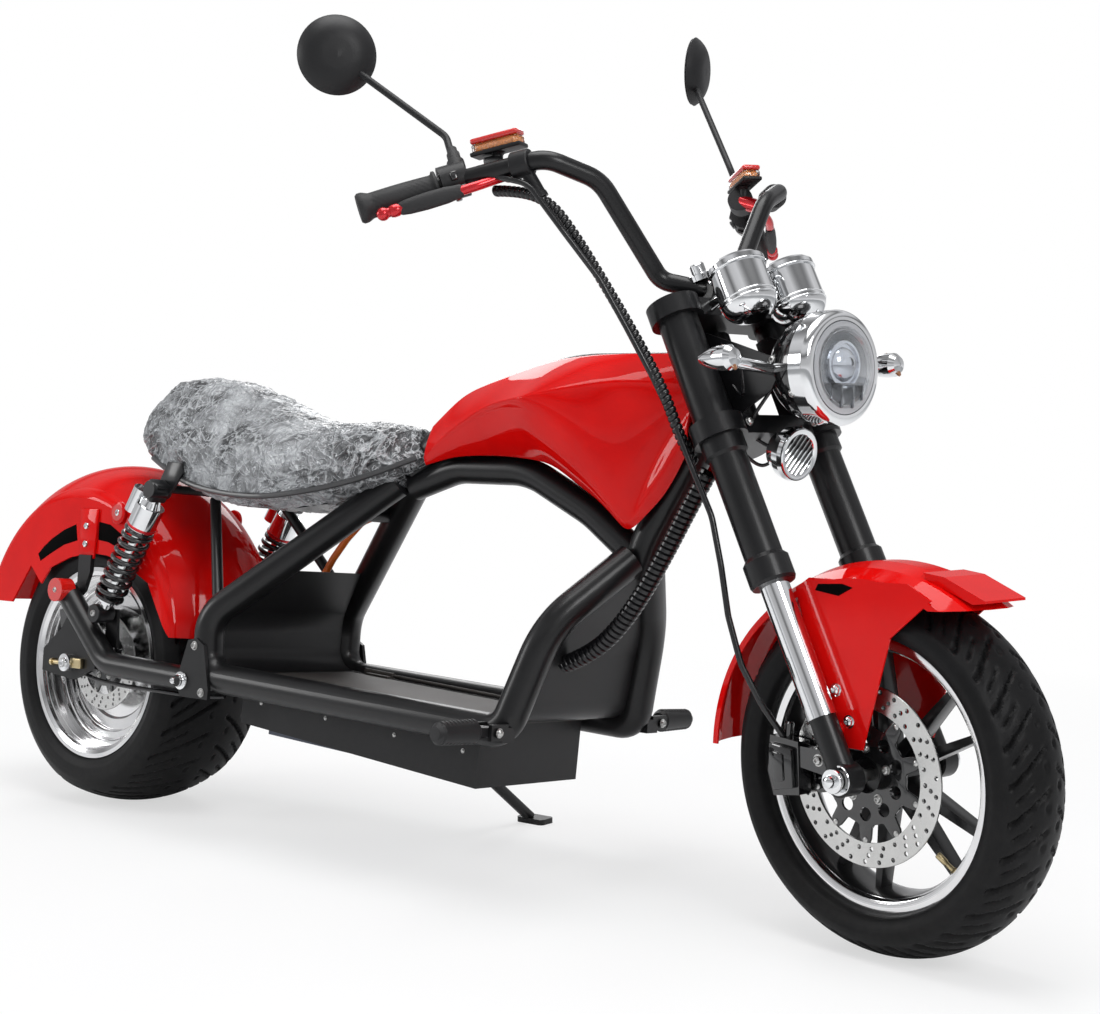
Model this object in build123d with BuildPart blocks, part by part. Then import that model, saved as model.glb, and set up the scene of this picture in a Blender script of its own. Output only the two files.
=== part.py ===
# Electric custom motorcycle with fat tyres, parked on its side stand.
# Drawn upright in millimetres: X forward, Y to the rider's left, Z up, origin on the ground under the rear axle.
# Steering pieces are drawn straight ahead; at the end they are turned, and the whole bike is leaned to the left.
from build123d import *
from math import acos, asin, atan2, cos, degrees, radians, sin, sqrt, tan
import os

# Stance and wheels
WHEELBASE = 1495.0
RAKE = 26.4
FORK_OFFSET = 36.9
STEERING_REST = -11.5
LEAN = 5.2
REAR_TYRE_RADIUS = 242.6
REAR_TYRE_HALF_WIDTH = 107.0
REAR_CROWN_RADIUS = 220.0
REAR_RIM_RADIUS = 165.0
REAR_RIM_HALF_WIDTH = 98.9
FRONT_TYRE_RADIUS = 228.6
FRONT_TYRE_HALF_WIDTH = 62.0
FRONT_CROWN_RADIUS = 72.5
FRONT_RIM_RADIUS = 168.0
FRONT_RIM_HALF_WIDTH = 38.5

# Fits: pins and shafts turn with a small radial clearance
FIT = 0.05
REAR_AXLE_RADIUS = 8.0
FRONT_AXLE_RADIUS = 7.5
STEM_RADIUS = 15.0

# Steering head, measured along the fork legs up from the front axle
LEG_SPACING = 92.0
LEG_UPPER_RADIUS = 27.0
STANCHION_RADIUS = 19.0
LEG_LOWER_RADIUS = 17.0
LEG_TOP = 660.0
UPPER_CLAMP = 630.0
LOWER_CLAMP = 455.0
CLAMP_THICKNESS = 26.0
HEAD_GAP = 5.5
HEAD_RADIUS = 27.0

# Frame tubes
SPINE_RADIUS = 25.0
ARCH_RADIUS = 22.0
LOOP_RADIUS = 23.5
LOOP_HALF_WIDTH = 150.0
SWINGARM_RADIUS = 20.0
SWINGARM_HALF_WIDTH = 150.0
PIVOT = (336.0, 241.0)

UP = Vector(-sin(radians(RAKE)), 0, cos(radians(RAKE)))
AHEAD = Vector(cos(radians(RAKE)), 0, sin(radians(RAKE)))
REAR_AXLE = Vector(0, 0, REAR_TYRE_RADIUS)
FRONT_AXLE = Vector(WHEELBASE, 0, FRONT_TYRE_RADIUS)
STEERING_AXIS = Axis(FRONT_AXLE - AHEAD * FORK_OFFSET, UP)
RIGHT, LEFT = -1, 1
STEERED, FIXED = True, False
nodes = []


def keep(label, part, steered):
    """Adds one finished piece to the list that is placed and written at the end."""
    nodes.append((label, part, steered))
    return part


def at_leg(height, ahead=0.0, side=0.0):
    """Point measured along the fork legs from the front axle."""
    return FRONT_AXLE + UP * height + AHEAD * ahead + Vector(0, side, 0)


def leg_plane(height, ahead=0.0, side=0.0):
    """Plane square to the fork legs, its x ahead and its y to the left."""
    return Plane(origin=at_leg(height, ahead, side), x_dir=AHEAD, z_dir=UP)


def trace(steps):
    """Draws a closed outline: a point is joined by a line, a pair of points by an arc through the first."""
    here = steps[0]
    for step in steps[1:]:
        if isinstance(step[0], tuple):
            ThreePointArc(here, step[0], step[1])
            here = step[1]
        else:
            Line(here, step)
            here = step
    if here != steps[0]:
        Line(here, steps[0])


def joined(pieces, cuts=()):
    """One solid from touching pieces, less the cutting pieces."""
    with BuildPart() as whole:
        for piece in pieces:
            add(piece)
        for piece in cuts:
            add(piece, mode=Mode.SUBTRACT)
    return whole.part


def mirrored(part):
    """The same piece on the other side of the bike."""
    return part.mirror(Plane.XZ)


def tube(points, bends, radius):
    """Round bar along straight runs joined by bends."""
    with BuildPart() as bar:
        with BuildLine() as path:
            if bends:
                FilletPolyline(*points, radius=bends)
            else:
                Polyline(*points)
        with BuildSketch(Plane(origin=path.line @ 0, z_dir=path.line % 0)):
            Circle(radius)
        sweep()
    return bar.part


def rod(start, end, radius, bore=0.0):
    """Straight round bar, bored through when bore is given."""
    start, end = Vector(start), Vector(end)
    with BuildPart() as bar:
        with BuildSketch(Plane(origin=start, z_dir=end - start)):
            Circle(radius)
            if bore:
                Circle(bore, mode=Mode.SUBTRACT)
        extrude(amount=(end - start).length)
    return bar.part


def turned(origin, direction, steps):
    """Solid of revolution; the outline gives distance along the axis and radius."""
    direction = Vector(direction).normalized()
    side = Vector(0, 0, 1) if abs(direction.Z) < 0.9 else Vector(0, 1, 0)
    with BuildPart() as body:
        with BuildSketch(Plane(origin=origin, x_dir=direction, z_dir=direction.cross(side))):
            with BuildLine():
                trace(steps)
            make_face()
        revolve(axis=Axis(origin, direction))
    return body.part


def side_plate(steps, y_from, y_to):
    """Flat plate with an outline seen from the side, between two distances from the middle."""
    with BuildPart() as plate:
        with BuildSketch(Plane(origin=(0, y_from, 0), x_dir=(1, 0, 0), z_dir=(0, -1, 0))):
            with BuildLine():
                trace(steps)
            make_face()
        extrude(amount=y_from - y_to)
    return plate.part


def block(plane, size, centre=(0, 0, 0), corner=0.0):
    """Box on a plane, its upright edges rounded when a corner is given."""
    with BuildPart() as body:
        with BuildSketch(plane.offset(centre[2] - size[2] / 2)):
            with Locations((centre[0], centre[1])):
                if corner:
                    RectangleRounded(size[0], size[1], corner)
                else:
                    Rectangle(size[0], size[1])
        extrude(amount=size[2])
    return body.part


def wheel_part(axle, steps):
    """Ring or disc turned about an axle; the outline gives distance to the left and radius."""
    return turned(axle, (0, 1, 0), steps)


# Rear wheel: wide tyre, deep polished rim with the motor hub, brake disc
REAR_BEAD = 155.0
rear_tyre = wheel_part(REAR_AXLE, [
    (-95.5, REAR_BEAD), (-95.5, REAR_RIM_RADIUS + 0.5), (-99, REAR_RIM_RADIUS + 1.5),
    ((-REAR_TYRE_HALF_WIDTH, 193), (-93, 222.4)), ((0, REAR_TYRE_RADIUS), (93, 222.4)),
    ((REAR_TYRE_HALF_WIDTH, 193), (99, REAR_RIM_RADIUS + 1.5)), (95.5, REAR_RIM_RADIUS + 0.5), (95.5, REAR_BEAD),
])
keep("rear_tyre", rear_tyre, FIXED)
rear_rim = wheel_part(REAR_AXLE, [
    (-REAR_RIM_HALF_WIDTH, REAR_RIM_RADIUS), (-95.5, REAR_RIM_RADIUS), (-95.5, REAR_BEAD), (95.5, REAR_BEAD),
    (95.5, REAR_RIM_RADIUS), (REAR_RIM_HALF_WIDTH, REAR_RIM_RADIUS), (REAR_RIM_HALF_WIDTH, 158), (95.5, 151), (88, 148.5),
    (52, 147), (52, 120), (60, 118), (60, REAR_AXLE_RADIUS + FIT), (-70, REAR_AXLE_RADIUS + FIT), (-70, 34),
    (-46, 40), (-42, 96), (-46, 100), (-46, 118), (-56, 122), (-56, 134), (-66, 138), (-66, 148), (-88, 148.5),
    (-95.5, 151), (-REAR_RIM_HALF_WIDTH, 158),
])
keep("rear_rim", rear_rim, FIXED)
REAR_DISC_RADIUS = 83.0
REAR_DISC_FACE = -74.0
rear_disc = wheel_part(REAR_AXLE, [
    (REAR_DISC_FACE, 18), (REAR_DISC_FACE + 4, 18), (REAR_DISC_FACE + 4, REAR_DISC_RADIUS),
    (REAR_DISC_FACE, REAR_DISC_RADIUS),
])
keep("rear_disc", rear_disc, FIXED)

# Front wheel: tyre, five split spokes, drilled disc
FRONT_BEAD = 158.0
front_tyre = wheel_part(FRONT_AXLE, [
    (-36, FRONT_BEAD), (-36, FRONT_RIM_RADIUS + 0.5), (-41, FRONT_RIM_RADIUS + 2),
    ((-FRONT_TYRE_HALF_WIDTH, 192), (-52, 206.6)), ((0, FRONT_TYRE_RADIUS), (52, 206.6)),
    ((FRONT_TYRE_HALF_WIDTH, 192), (41, FRONT_RIM_RADIUS + 2)), (36, FRONT_RIM_RADIUS + 0.5), (36, FRONT_BEAD),
])
keep("front_tyre", front_tyre, STEERED)
HUB_RADIUS = 30.0
HUB_HALF_WIDTH = 42.0
SPOKE_COUNT = 5
barrel = wheel_part(FRONT_AXLE, [
    (-FRONT_RIM_HALF_WIDTH, FRONT_RIM_RADIUS), (-36, FRONT_RIM_RADIUS), (-36, FRONT_BEAD), (36, FRONT_BEAD),
    (36, FRONT_RIM_RADIUS), (FRONT_RIM_HALF_WIDTH, FRONT_RIM_RADIUS), (FRONT_RIM_HALF_WIDTH, 160), (36, 154),
    (31, 151.5), (12, 148), (-12, 148), (-31, 151.5), (-36, 154), (-FRONT_RIM_HALF_WIDTH, 160),
])
hub = wheel_part(FRONT_AXLE, [
    (-HUB_HALF_WIDTH, FRONT_AXLE_RADIUS + FIT), (HUB_HALF_WIDTH, FRONT_AXLE_RADIUS + FIT),
    (HUB_HALF_WIDTH, HUB_RADIUS), (-HUB_HALF_WIDTH, HUB_RADIUS),
])
spokes = []
for number in range(SPOKE_COUNT):
    for spread in (-1, 1):
        near = radians(360 / SPOKE_COUNT * number + 90 + 13 * spread)
        far = radians(360 / SPOKE_COUNT * number + 90 + 12 * spread)
        inner = Vector(26 * cos(near), 26 * sin(near))
        outer = Vector(150.5 * cos(far), 150.5 * sin(far))
        across = (outer - inner).normalized().rotate(Axis.Z, 90) * 7
        outline = [inner - across, inner + across, outer + across * 0.8, outer - across * 0.8]
        with BuildPart() as spoke:
            with BuildSketch(Plane(origin=FRONT_AXLE - Vector(0, 13, 0), x_dir=(1, 0, 0), z_dir=(0, -1, 0))):
                with BuildLine():
                    Polyline(*[(corner.X, corner.Y) for corner in outline], close=True)
                make_face()
            extrude(amount=-26)
        spokes.append(spoke.part)
front_rim = joined([barrel, hub] + spokes)
keep("front_rim", front_rim, STEERED)
FRONT_DISC_RADIUS = 112.0
FRONT_DISC_FACE = -54.0
DISC_THICKNESS = 4.0
with BuildPart() as front_disc:
    with BuildSketch(Plane(origin=FRONT_AXLE + Vector(0, FRONT_DISC_FACE, 0), x_dir=(1, 0, 0), z_dir=(0, -1, 0))):
        Circle(FRONT_DISC_RADIUS)
        Circle(82, mode=Mode.SUBTRACT)
        with PolarLocations(62, 10):
            Rectangle(50, 11)
        Circle(46)
        Circle(22, mode=Mode.SUBTRACT)
    extrude(amount=-DISC_THICKNESS)
    with BuildSketch(Plane(origin=FRONT_AXLE + Vector(0, FRONT_DISC_FACE + DISC_THICKNESS, 0), x_dir=(1, 0, 0),
                           z_dir=(0, -1, 0))):
        Circle(29)
        Circle(22, mode=Mode.SUBTRACT)
    extrude(amount=FRONT_DISC_FACE + DISC_THICKNESS + HUB_HALF_WIDTH)
keep("front_disc", front_disc.part, STEERED)

# Front fork: upper tubes, bright stanchions, lower lugs and axle
leg_rows = [
    # name, lower end, upper end, radius
    ("upper", 268.0, LEG_TOP, LEG_UPPER_RADIUS),
    ("bright", 78.0, 268.0, STANCHION_RADIUS),
]
upper_legs, bright_legs, lower_legs = [], [], []
for side in (RIGHT, LEFT):
    y = side * LEG_SPACING
    name, low, high, radius = leg_rows[0]
    upper_legs.append(turned(at_leg(0, 0, y), UP, [
        (254, STANCHION_RADIUS), (254, radius + 1), (258, radius + 3), (286, radius + 3), (292, radius - 2),
        (430, radius - 2), (434, radius + 2), (LOWER_CLAMP, radius + 2), (LOWER_CLAMP, radius),
        (LEG_TOP, radius), (LEG_TOP, 0), (268, 0), (268, STANCHION_RADIUS),
    ]))
    name, low, high, radius = leg_rows[1]
    bright_legs.append(rod(at_leg(low, 0, y), at_leg(high, 0, y), radius))
    lug = rod(at_leg(-6, 0, y), at_leg(78, 0, y), LEG_LOWER_RADIUS)
    foot = rod(at_leg(0, 0, y - 13), at_leg(0, 0, y + 13), 21)
    lower_legs.append(joined([lug, foot], [rod(at_leg(0, 0, y - 30), at_leg(0, 0, y + 30), FRONT_AXLE_RADIUS)]))
fork_uppers = joined(upper_legs)
fork_stanchions = joined(bright_legs)
SPACER_RADIUS = 12.0
SPACER_REACH = 64.0
front_axle = joined([
    rod(FRONT_AXLE - Vector(0, 118, 0), FRONT_AXLE + Vector(0, 118, 0), FRONT_AXLE_RADIUS),
    rod(FRONT_AXLE - Vector(0, LEG_SPACING - LEG_LOWER_RADIUS, 0), FRONT_AXLE - Vector(0, SPACER_REACH, 0), SPACER_RADIUS),
    rod(FRONT_AXLE + Vector(0, SPACER_REACH, 0), FRONT_AXLE + Vector(0, LEG_SPACING - LEG_LOWER_RADIUS, 0), SPACER_RADIUS),
    rod(FRONT_AXLE - Vector(0, LEG_SPACING + LEG_LOWER_RADIUS, 0), FRONT_AXLE - Vector(0, 114, 0), 12),
    rod(FRONT_AXLE + Vector(0, LEG_SPACING + LEG_LOWER_RADIUS, 0), FRONT_AXLE + Vector(0, 114, 0), 12),
])
keep("front_axle", front_axle, STEERED)


def clamp_plate(height, rear_reach):
    """Fork clamp: two eyes round the legs and a web round the stem."""
    with BuildPart() as clamp:
        with BuildSketch(leg_plane(height)):
            with Locations((0, -LEG_SPACING), (0, LEG_SPACING)):
                Circle(LEG_UPPER_RADIUS + 9)
            Rectangle(46, 2 * LEG_SPACING)
            with Locations((-FORK_OFFSET, 0)):
                Circle(rear_reach)
            with Locations((-FORK_OFFSET / 2, 0)):
                Rectangle(FORK_OFFSET, 2 * rear_reach)
        extrude(amount=CLAMP_THICKNESS)
    return clamp.part


stem = rod(at_leg(LOWER_CLAMP, -FORK_OFFSET), at_leg(LEG_TOP + 6, -FORK_OFFSET), STEM_RADIUS)
ear_rows = [
    # height, length along the leg
    (492.0, 36.0),
    (574.0, 36.0),
]
ears = []
for side in (RIGHT, LEFT):
    for height, length in ear_rows:
        ears.append(rod(at_leg(height, 0, side * LEG_SPACING), at_leg(height + length, 0, side * LEG_SPACING),
                        LEG_UPPER_RADIUS + 3))
triple_clamps = joined([clamp_plate(UPPER_CLAMP, 22), clamp_plate(LOWER_CLAMP, 26), stem], [])
triple_clamps = joined([triple_clamps], [fork_uppers])
keep("triple_clamps", triple_clamps, STEERED)
keep("fork_uppers", fork_uppers, STEERED)
keep("fork_stanchions", fork_stanchions, STEERED)
keep("fork_lowers", joined(lower_legs), STEERED)

# Headlight on two side plates, with lens, horn and instrument pods
LAMP_CENTRE = Vector(1414, 0, 727)
LAMP_RADIUS = 73.5
plate_outline = [(1236, 778), (1220, 742), (1262, 655), (1292, 668), (1352, 700), (1366, 722), (1352, 742), (1290, 762)]
lamp_plates = []
for side in (RIGHT, LEFT):
    lamp_plates.append(side_plate(plate_outline, side * 62 + 2, side * 62 - 2))
    for height, length in ear_rows:
        lamp_plates.append(block(leg_plane(height + length / 2), (20, 5, length), (-4, side * 63.5, 0)))
lamp_bowl = turned(LAMP_CENTRE, (-1, 0, 0), [
    (18, 0), (18, 60), (14, 64), (14, 69), ((60, 63), (88, 36)), (96, 22), (96, 0),
])
lamp_plates = joined(lamp_plates, [lamp_bowl, fork_uppers, triple_clamps])
keep("headlight_bracket", lamp_plates, STEERED)
keep("headlight_bowl", lamp_bowl, STEERED)
lamp_ring = turned(LAMP_CENTRE, (-1, 0, 0), [
    (-4, 60), (-4, 64), ((0, 71), (6, LAMP_RADIUS)), (26, LAMP_RADIUS), (26, 69), (14, 69), (14, 64), (3, 60),
])
keep("headlight_ring", joined([lamp_ring], [lamp_bowl]), STEERED)
lamp_lens = turned(LAMP_CENTRE, (-1, 0, 0), [(-14, 0), ((-11, 34), (-3, 60)), (3, 60), (0, 0)])
keep("headlight_lens", lamp_lens, STEERED)
horn = joined([
    turned((1341, 0, 618), (-1, 0, 0.18), [(0, 0), (0, 34), (5, 36), (16, 34), (20, 28), (34, 24), (38, 10), (38, 0)]),
    rod((1310, 0, 624), (1298, 0, 652), 7),
])
keep("horn", joined([horn], [triple_clamps]), STEERED)
pod_rows = [
    # centre ahead of the leg, side, base height along the leg
    (86.0, -48.0, 594.0),
    (86.0, 48.0, 594.0),
]
pods = []
for ahead, side, height in pod_rows:
    pods.append(turned(at_leg(height, ahead, side), UP, [
        (-6, 0), (-6, 16), ((2, 30), (14, 37)), (66, 37), (66, 39), (72, 39), (76, 35), (76, 0),
    ]))
pod_stays = [rod(at_leg(UPPER_CLAMP + 12, 18, side), at_leg(UPPER_CLAMP + 12, ahead - 30, side), 8)
             for ahead, side, height in pod_rows]
keep("gauge_pods", joined(pods + pod_stays, [triple_clamps, fork_uppers, lamp_plates, lamp_bowl]), STEERED)
signals = []
for side in (RIGHT, LEFT):
    bullet = turned((1352, side * 159, 737), (1, 0, 0), [
        (-32, 0), (-30, 6), ((-8, 14), (14, 16)), (20, 16), (27, 11), (29, 0),
    ])
    stalk = rod((1350, side * 64, 727), (1350, side * 148, 735), 8)
    signals.append(joined([bullet, stalk]))
keep("turn_signals", joined(signals, [lamp_plates, lamp_bowl]), STEERED)

# Handlebar with risers, grips, switches, levers, marker lamps and mirrors
BAR_RADIUS = 12.7
bar_half = [(1206, 34, 838), (1160, 70, 852), (1138, 160, 980), (1108, 228, 1006), (985, 290, 983), (918, 392, 946)]
bar_bends = [28, 60, 42, 60]
bar_path = [(x, -y, z) for x, y, z in reversed(bar_half)] + bar_half
bar_tube = tube(bar_path, list(reversed(bar_bends)) + [28, 28] + bar_bends, BAR_RADIUS)
riser_rows = [-26.0, 26.0]
risers = []
for side in riser_rows:
    risers.append(rod(at_leg(LEG_TOP, -12, side), (1206, side, 838), 14))
    risers.append(rod((1206, side - 13, 838), (1206, side + 13, 838), 21))
keep("handlebar", joined([bar_tube] + risers, [triple_clamps]), STEERED)
grip_start = Vector(985, 290, 983)
grip_end = Vector(918, 392, 946)
grip_way = (grip_end - grip_start).normalized()
GRIP_RADIUS = 17.5
grips, housings, levers, markers = [], [], [], []
for side in (RIGHT, LEFT):
    start = Vector(grip_start.X, side * grip_start.Y, grip_start.Z)
    way = Vector(grip_way.X, side * grip_way.Y, grip_way.Z)
    grips.append(turned(start, way, [
        (18, 0), (18, 21), (22, 21), (24, GRIP_RADIUS - 1), ((70, GRIP_RADIUS), (112, GRIP_RADIUS)), (118, 20),
        (126, 20), (128, 16), (128, 0),
    ]))
    housings.append(joined([rod(start - way * 22, start + way * 14, 24)]))
    housings.append(rod(start - way * 74, start - way * 52, 19))
    hinge = start - way * 60 + Vector(34, 0, -10)
    tip = start + way * 112 + Vector(30, 0, -14)
    knee = start - way * 8 + Vector(46, 0, -12)
    levers.append(joined([
        rod(start - way * 63, hinge, 11),
        tube([tuple(hinge), tuple(knee), tuple(tip)], [60], 6.5),
        turned(tip, way, [(-9, 0), ((0, 9), (9, 0))]),
    ]))
bar_core = [bar_tube]
keep("grips", joined(grips, bar_core), STEERED)
housing_part = joined(housings, bar_core)
lever_part = joined(levers, bar_core + [housing_part] + grips)
keep("switch_housings", housing_part, STEERED)
keep("brake_levers", lever_part, STEERED)
marker_rows = [(RIGHT, 0.0), (LEFT, 0.0)]
for side, turn in marker_rows:
    spot = Vector(1024, side * 240, 1035)
    run = Vector(-122, side * 62, -23).normalized()
    deck = Plane(origin=spot, x_dir=run, z_dir=Vector(0, 0, 1) - run * run.Z)
    markers.append(joined([block(deck, (70, 28, 24), (0, 0, 0), 8), rod(spot - Vector(0, 0, 11), spot - Vector(0, 0, 30), 8)]))
marker_part = joined(markers, bar_core + [housing_part, lever_part])
keep("marker_lamps", marker_part, STEERED)
mirror_rows = [
    # side, head centre, stem corner, stem foot
    (RIGHT, (811, -353, 1174), (946, -267, 1052), (988, -282, 996)),
    (LEFT, (814, 353, 1248), (960, 278, 1062), (988, 282, 996)),
]
mirrors = []
for side, head, corner, base in mirror_rows:
    back = Vector(0.85, side * 0.5, -0.08).normalized()
    shell = turned(head, back, [(-6, 0), (-6, 52), (-3, 55), ((8, 45), (17, 20)), (18, 0)])
    inward = Vector(corner) - Vector(head)
    inward = (inward - back * inward.dot(back)).normalized()
    root = Vector(head) + back * 6 + inward * 38
    stem_part = tube([base, corner, tuple(root)], [24], 5)
    mirrors.append(joined([shell, stem_part]))
keep("mirrors", joined(mirrors, bar_core + [housing_part, lever_part, marker_part]), STEERED)

# Front mudguard: crown round the tyre, side plates bolted to the lower legs
GUARD_RADIUS = 259.0
GUARD_HALF_WIDTH = 70.5
GUARD_INNER = 68.0
guard_ring = wheel_part(FRONT_AXLE, [
    (-GUARD_HALF_WIDTH, 232), (-GUARD_HALF_WIDTH, 240), (-46, 252), (-18, GUARD_RADIUS), (18, GUARD_RADIUS),
    (46, 252), (GUARD_HALF_WIDTH, 240), (GUARD_HALF_WIDTH, 232), (GUARD_INNER, 232), (GUARD_INNER, 238),
    (45, 249), (17, GUARD_RADIUS - 3), (-17, GUARD_RADIUS - 3), (-45, 249), (-GUARD_INNER, 238), (-GUARD_INNER, 232),
])
reach = side_plate([(1670, 438), (1640, 500), (1400, 520), (1200, 420), (1190, 240), (1300, 240), (1360, 330),
                    (1390, 400), (1420, 430)], 90, -90)
with BuildPart() as guard_crown:
    add(guard_ring)
    add(reach, mode=Mode.INTERSECT)
guard_outline = [(1398, 452), (1420, 466), (1570, 466), (1604, 448), (1545, 400), (1504, 262), (1462, 262), (1432, 350)]
guard_sides = [side_plate(guard_outline, GUARD_HALF_WIDTH, GUARD_INNER),
               side_plate(guard_outline, -GUARD_INNER, -GUARD_HALF_WIDTH)]
guard_bosses = [rod((1470, side * 69, 285), (1470, side * 82, 285), 7) for side in (RIGHT, LEFT)]
guard_peak = side_plate([(1640, 444), (1657, 446), (1657, 449), (1600, 474), (1570, 478), (1575, 470)], 40, -40)
tyre_room = wheel_part(FRONT_AXLE, [(-GUARD_INNER, 0), (-GUARD_INNER, 238), (-45, 249), (-17, 256), (17, 256),
                                    (45, 249), (GUARD_INNER, 238), (GUARD_INNER, 0)])
keep("front_mudguard", joined([guard_crown.part] + guard_sides + guard_bosses + [guard_peak],
                              [tyre_room] + lower_legs), STEERED)

# Front brake: caliper behind the right leg, with its hose up to the bar
CALIPER_CLEARANCE = 5.5
caliper_outline = [(1366, 266), (1412, 262), (1414, 196), (1372, 190), (1362, 220)]
caliper_slot = wheel_part(FRONT_AXLE, [
    (FRONT_DISC_FACE - CALIPER_CLEARANCE, 0), (FRONT_DISC_FACE + DISC_THICKNESS + CALIPER_CLEARANCE, 0),
    (FRONT_DISC_FACE + DISC_THICKNESS + CALIPER_CLEARANCE, FRONT_DISC_RADIUS + CALIPER_CLEARANCE),
    (FRONT_DISC_FACE - CALIPER_CLEARANCE, FRONT_DISC_RADIUS + CALIPER_CLEARANCE),
])
caliper_bracket = side_plate([(1405, 257), (1478, 255), (1478, 222), (1405, 232)], -64, -80)
front_caliper = joined([side_plate(caliper_outline, -34, -82), caliper_bracket], [caliper_slot] + lower_legs)
keep("front_caliper", front_caliper, STEERED)
HOSE_RADIUS = 4.0
hose_points = [(1052, -262, 985), (1098, -250, 972), (1136, -222, 908), (1162, -182, 846), (1188, -160, 784),
               (1214, -140, 722), (1240, -126, 662), (1272, -124, 600), (1306, -124, 540), (1322, -124, 478),
               (1332, -122, 416), (1350, -118, 356), (1372, -104, 306), (1384, -76, 264)]
hose_bends = [40, 60, 60, 60, 60, 60, 60, 60, 60, 60, 60, 40]
front_hose = tube(hose_points, hose_bends, HOSE_RADIUS)
front_hose = joined([front_hose], bar_core + [front_caliper, triple_clamps, fork_uppers, lever_part, housing_part])
keep("front_brake_hose", front_hose, STEERED)

# Main frame: head tube, spine, arch, down tube and two side loops
head_tube = rod(at_leg(LOWER_CLAMP + CLAMP_THICKNESS + HEAD_GAP, -FORK_OFFSET),
                at_leg(UPPER_CLAMP - HEAD_GAP, -FORK_OFFSET), HEAD_RADIUS)
head_bore = rod(at_leg(LOWER_CLAMP, -FORK_OFFSET), at_leg(LEG_TOP, -FORK_OFFSET), STEM_RADIUS + FIT)
spine_tube = tube([(648, 0, 592), (770, 0, 690), (960, 0, 739), (1198, 0, 733)], [150, 300], SPINE_RADIUS)
down_tube = tube([(1084, 0, 447), (1100, 0, 498), tuple(at_leg(548, -FORK_OFFSET))], [120], SPINE_RADIUS)
frame_spine = joined([spine_tube, down_tube, head_tube], [head_bore])
keep("frame_spine", frame_spine, FIXED)
arch_points = [(652, 0, 566), (740, 0, 594), (880, 0, 592), (1000, 0, 534), (1090, 0, 470)]
arch_tube = joined([tube(arch_points, [120, 150, 200], ARCH_RADIUS)], [frame_spine])
keep("frame_arch", arch_tube, FIXED)
loop_points = [(1086, 20, 470), (1026, 120, 372), (984, 150, 226), (367, 150, 250), (365, 152, 345), (632, 20, 570)]
loop_left = tube(loop_points, [150, 34, 44, 60], LOOP_RADIUS)
loop_right = mirrored(loop_left)
loop_right = joined([loop_right], [frame_spine, arch_tube])
loop_left = joined([loop_left], [frame_spine, arch_tube, loop_right])
keep("frame_loop_right", loop_right, FIXED)
keep("frame_loop_left", loop_left, FIXED)

# Swing arm with axle plates, shock eyes and cross tube; pivot plates on the loops
ARM_BEND = (108.0, 249.0)
ARM_END = (-14.0, 362.0)
arms = []
for side in (RIGHT, LEFT):
    y = side * SWINGARM_HALF_WIDTH
    arm = tube([(PIVOT[0], y, PIVOT[1]), (ARM_BEND[0], y, ARM_BEND[1]), (ARM_END[0], y, ARM_END[1])], [60],
               SWINGARM_RADIUS)
    axle_plate = side_plate([(-78, 262), (-78, 224), (8, 214), (70, 236), (60, 280), (-8, 334), (-30, 300)],
                            side * 142 + 4, side * 142 - 4)
    eye_tab = side_plate([(70, 275), (105, 275), (100, 340), (76, 340)], side * 128 + 3, side * 128 - 3)
    arms.append(joined([arm, axle_plate, eye_tab], [rod((0, -200, REAR_TYRE_RADIUS), (0, 200, REAR_TYRE_RADIUS),
                                                        REAR_AXLE_RADIUS)]))
cross = rod((PIVOT[0] - 2, -SWINGARM_HALF_WIDTH, PIVOT[1]), (PIVOT[0] - 2, SWINGARM_HALF_WIDTH, PIVOT[1]), 18)
swingarm = joined(arms + [cross], [loop_right, loop_left])
keep("swingarm", swingarm, FIXED)
axle_pieces = [rod((0, -164, REAR_TYRE_RADIUS), (0, 164, REAR_TYRE_RADIUS), REAR_AXLE_RADIUS)]
for side, inner in ((RIGHT, -REAR_DISC_FACE + 5.5), (LEFT, 65.5)):
    axle_pieces.append(rod((0, side * inner, REAR_TYRE_RADIUS), (0, side * 138, REAR_TYRE_RADIUS), 13))
    axle_pieces.append(rod((0, side * 146, REAR_TYRE_RADIUS), (0, side * 157, REAR_TYRE_RADIUS), 14))
keep("rear_axle", joined(axle_pieces), FIXED)
pivot_plates = []
for side in (RIGHT, LEFT):
    plate = side_plate([(346, 306), (322, 238), (334, 216), (400, 216), (400, 232), (384, 300), (366, 310)],
                       side * 174 + 3, side * 174 - 3)
    bolt = rod((PIVOT[0], side * 169, PIVOT[1]), (PIVOT[0], side * 188, PIVOT[1]), 9)
    pivot_plates.append(joined([plate, bolt], [loop_right, loop_left, swingarm]))

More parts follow.
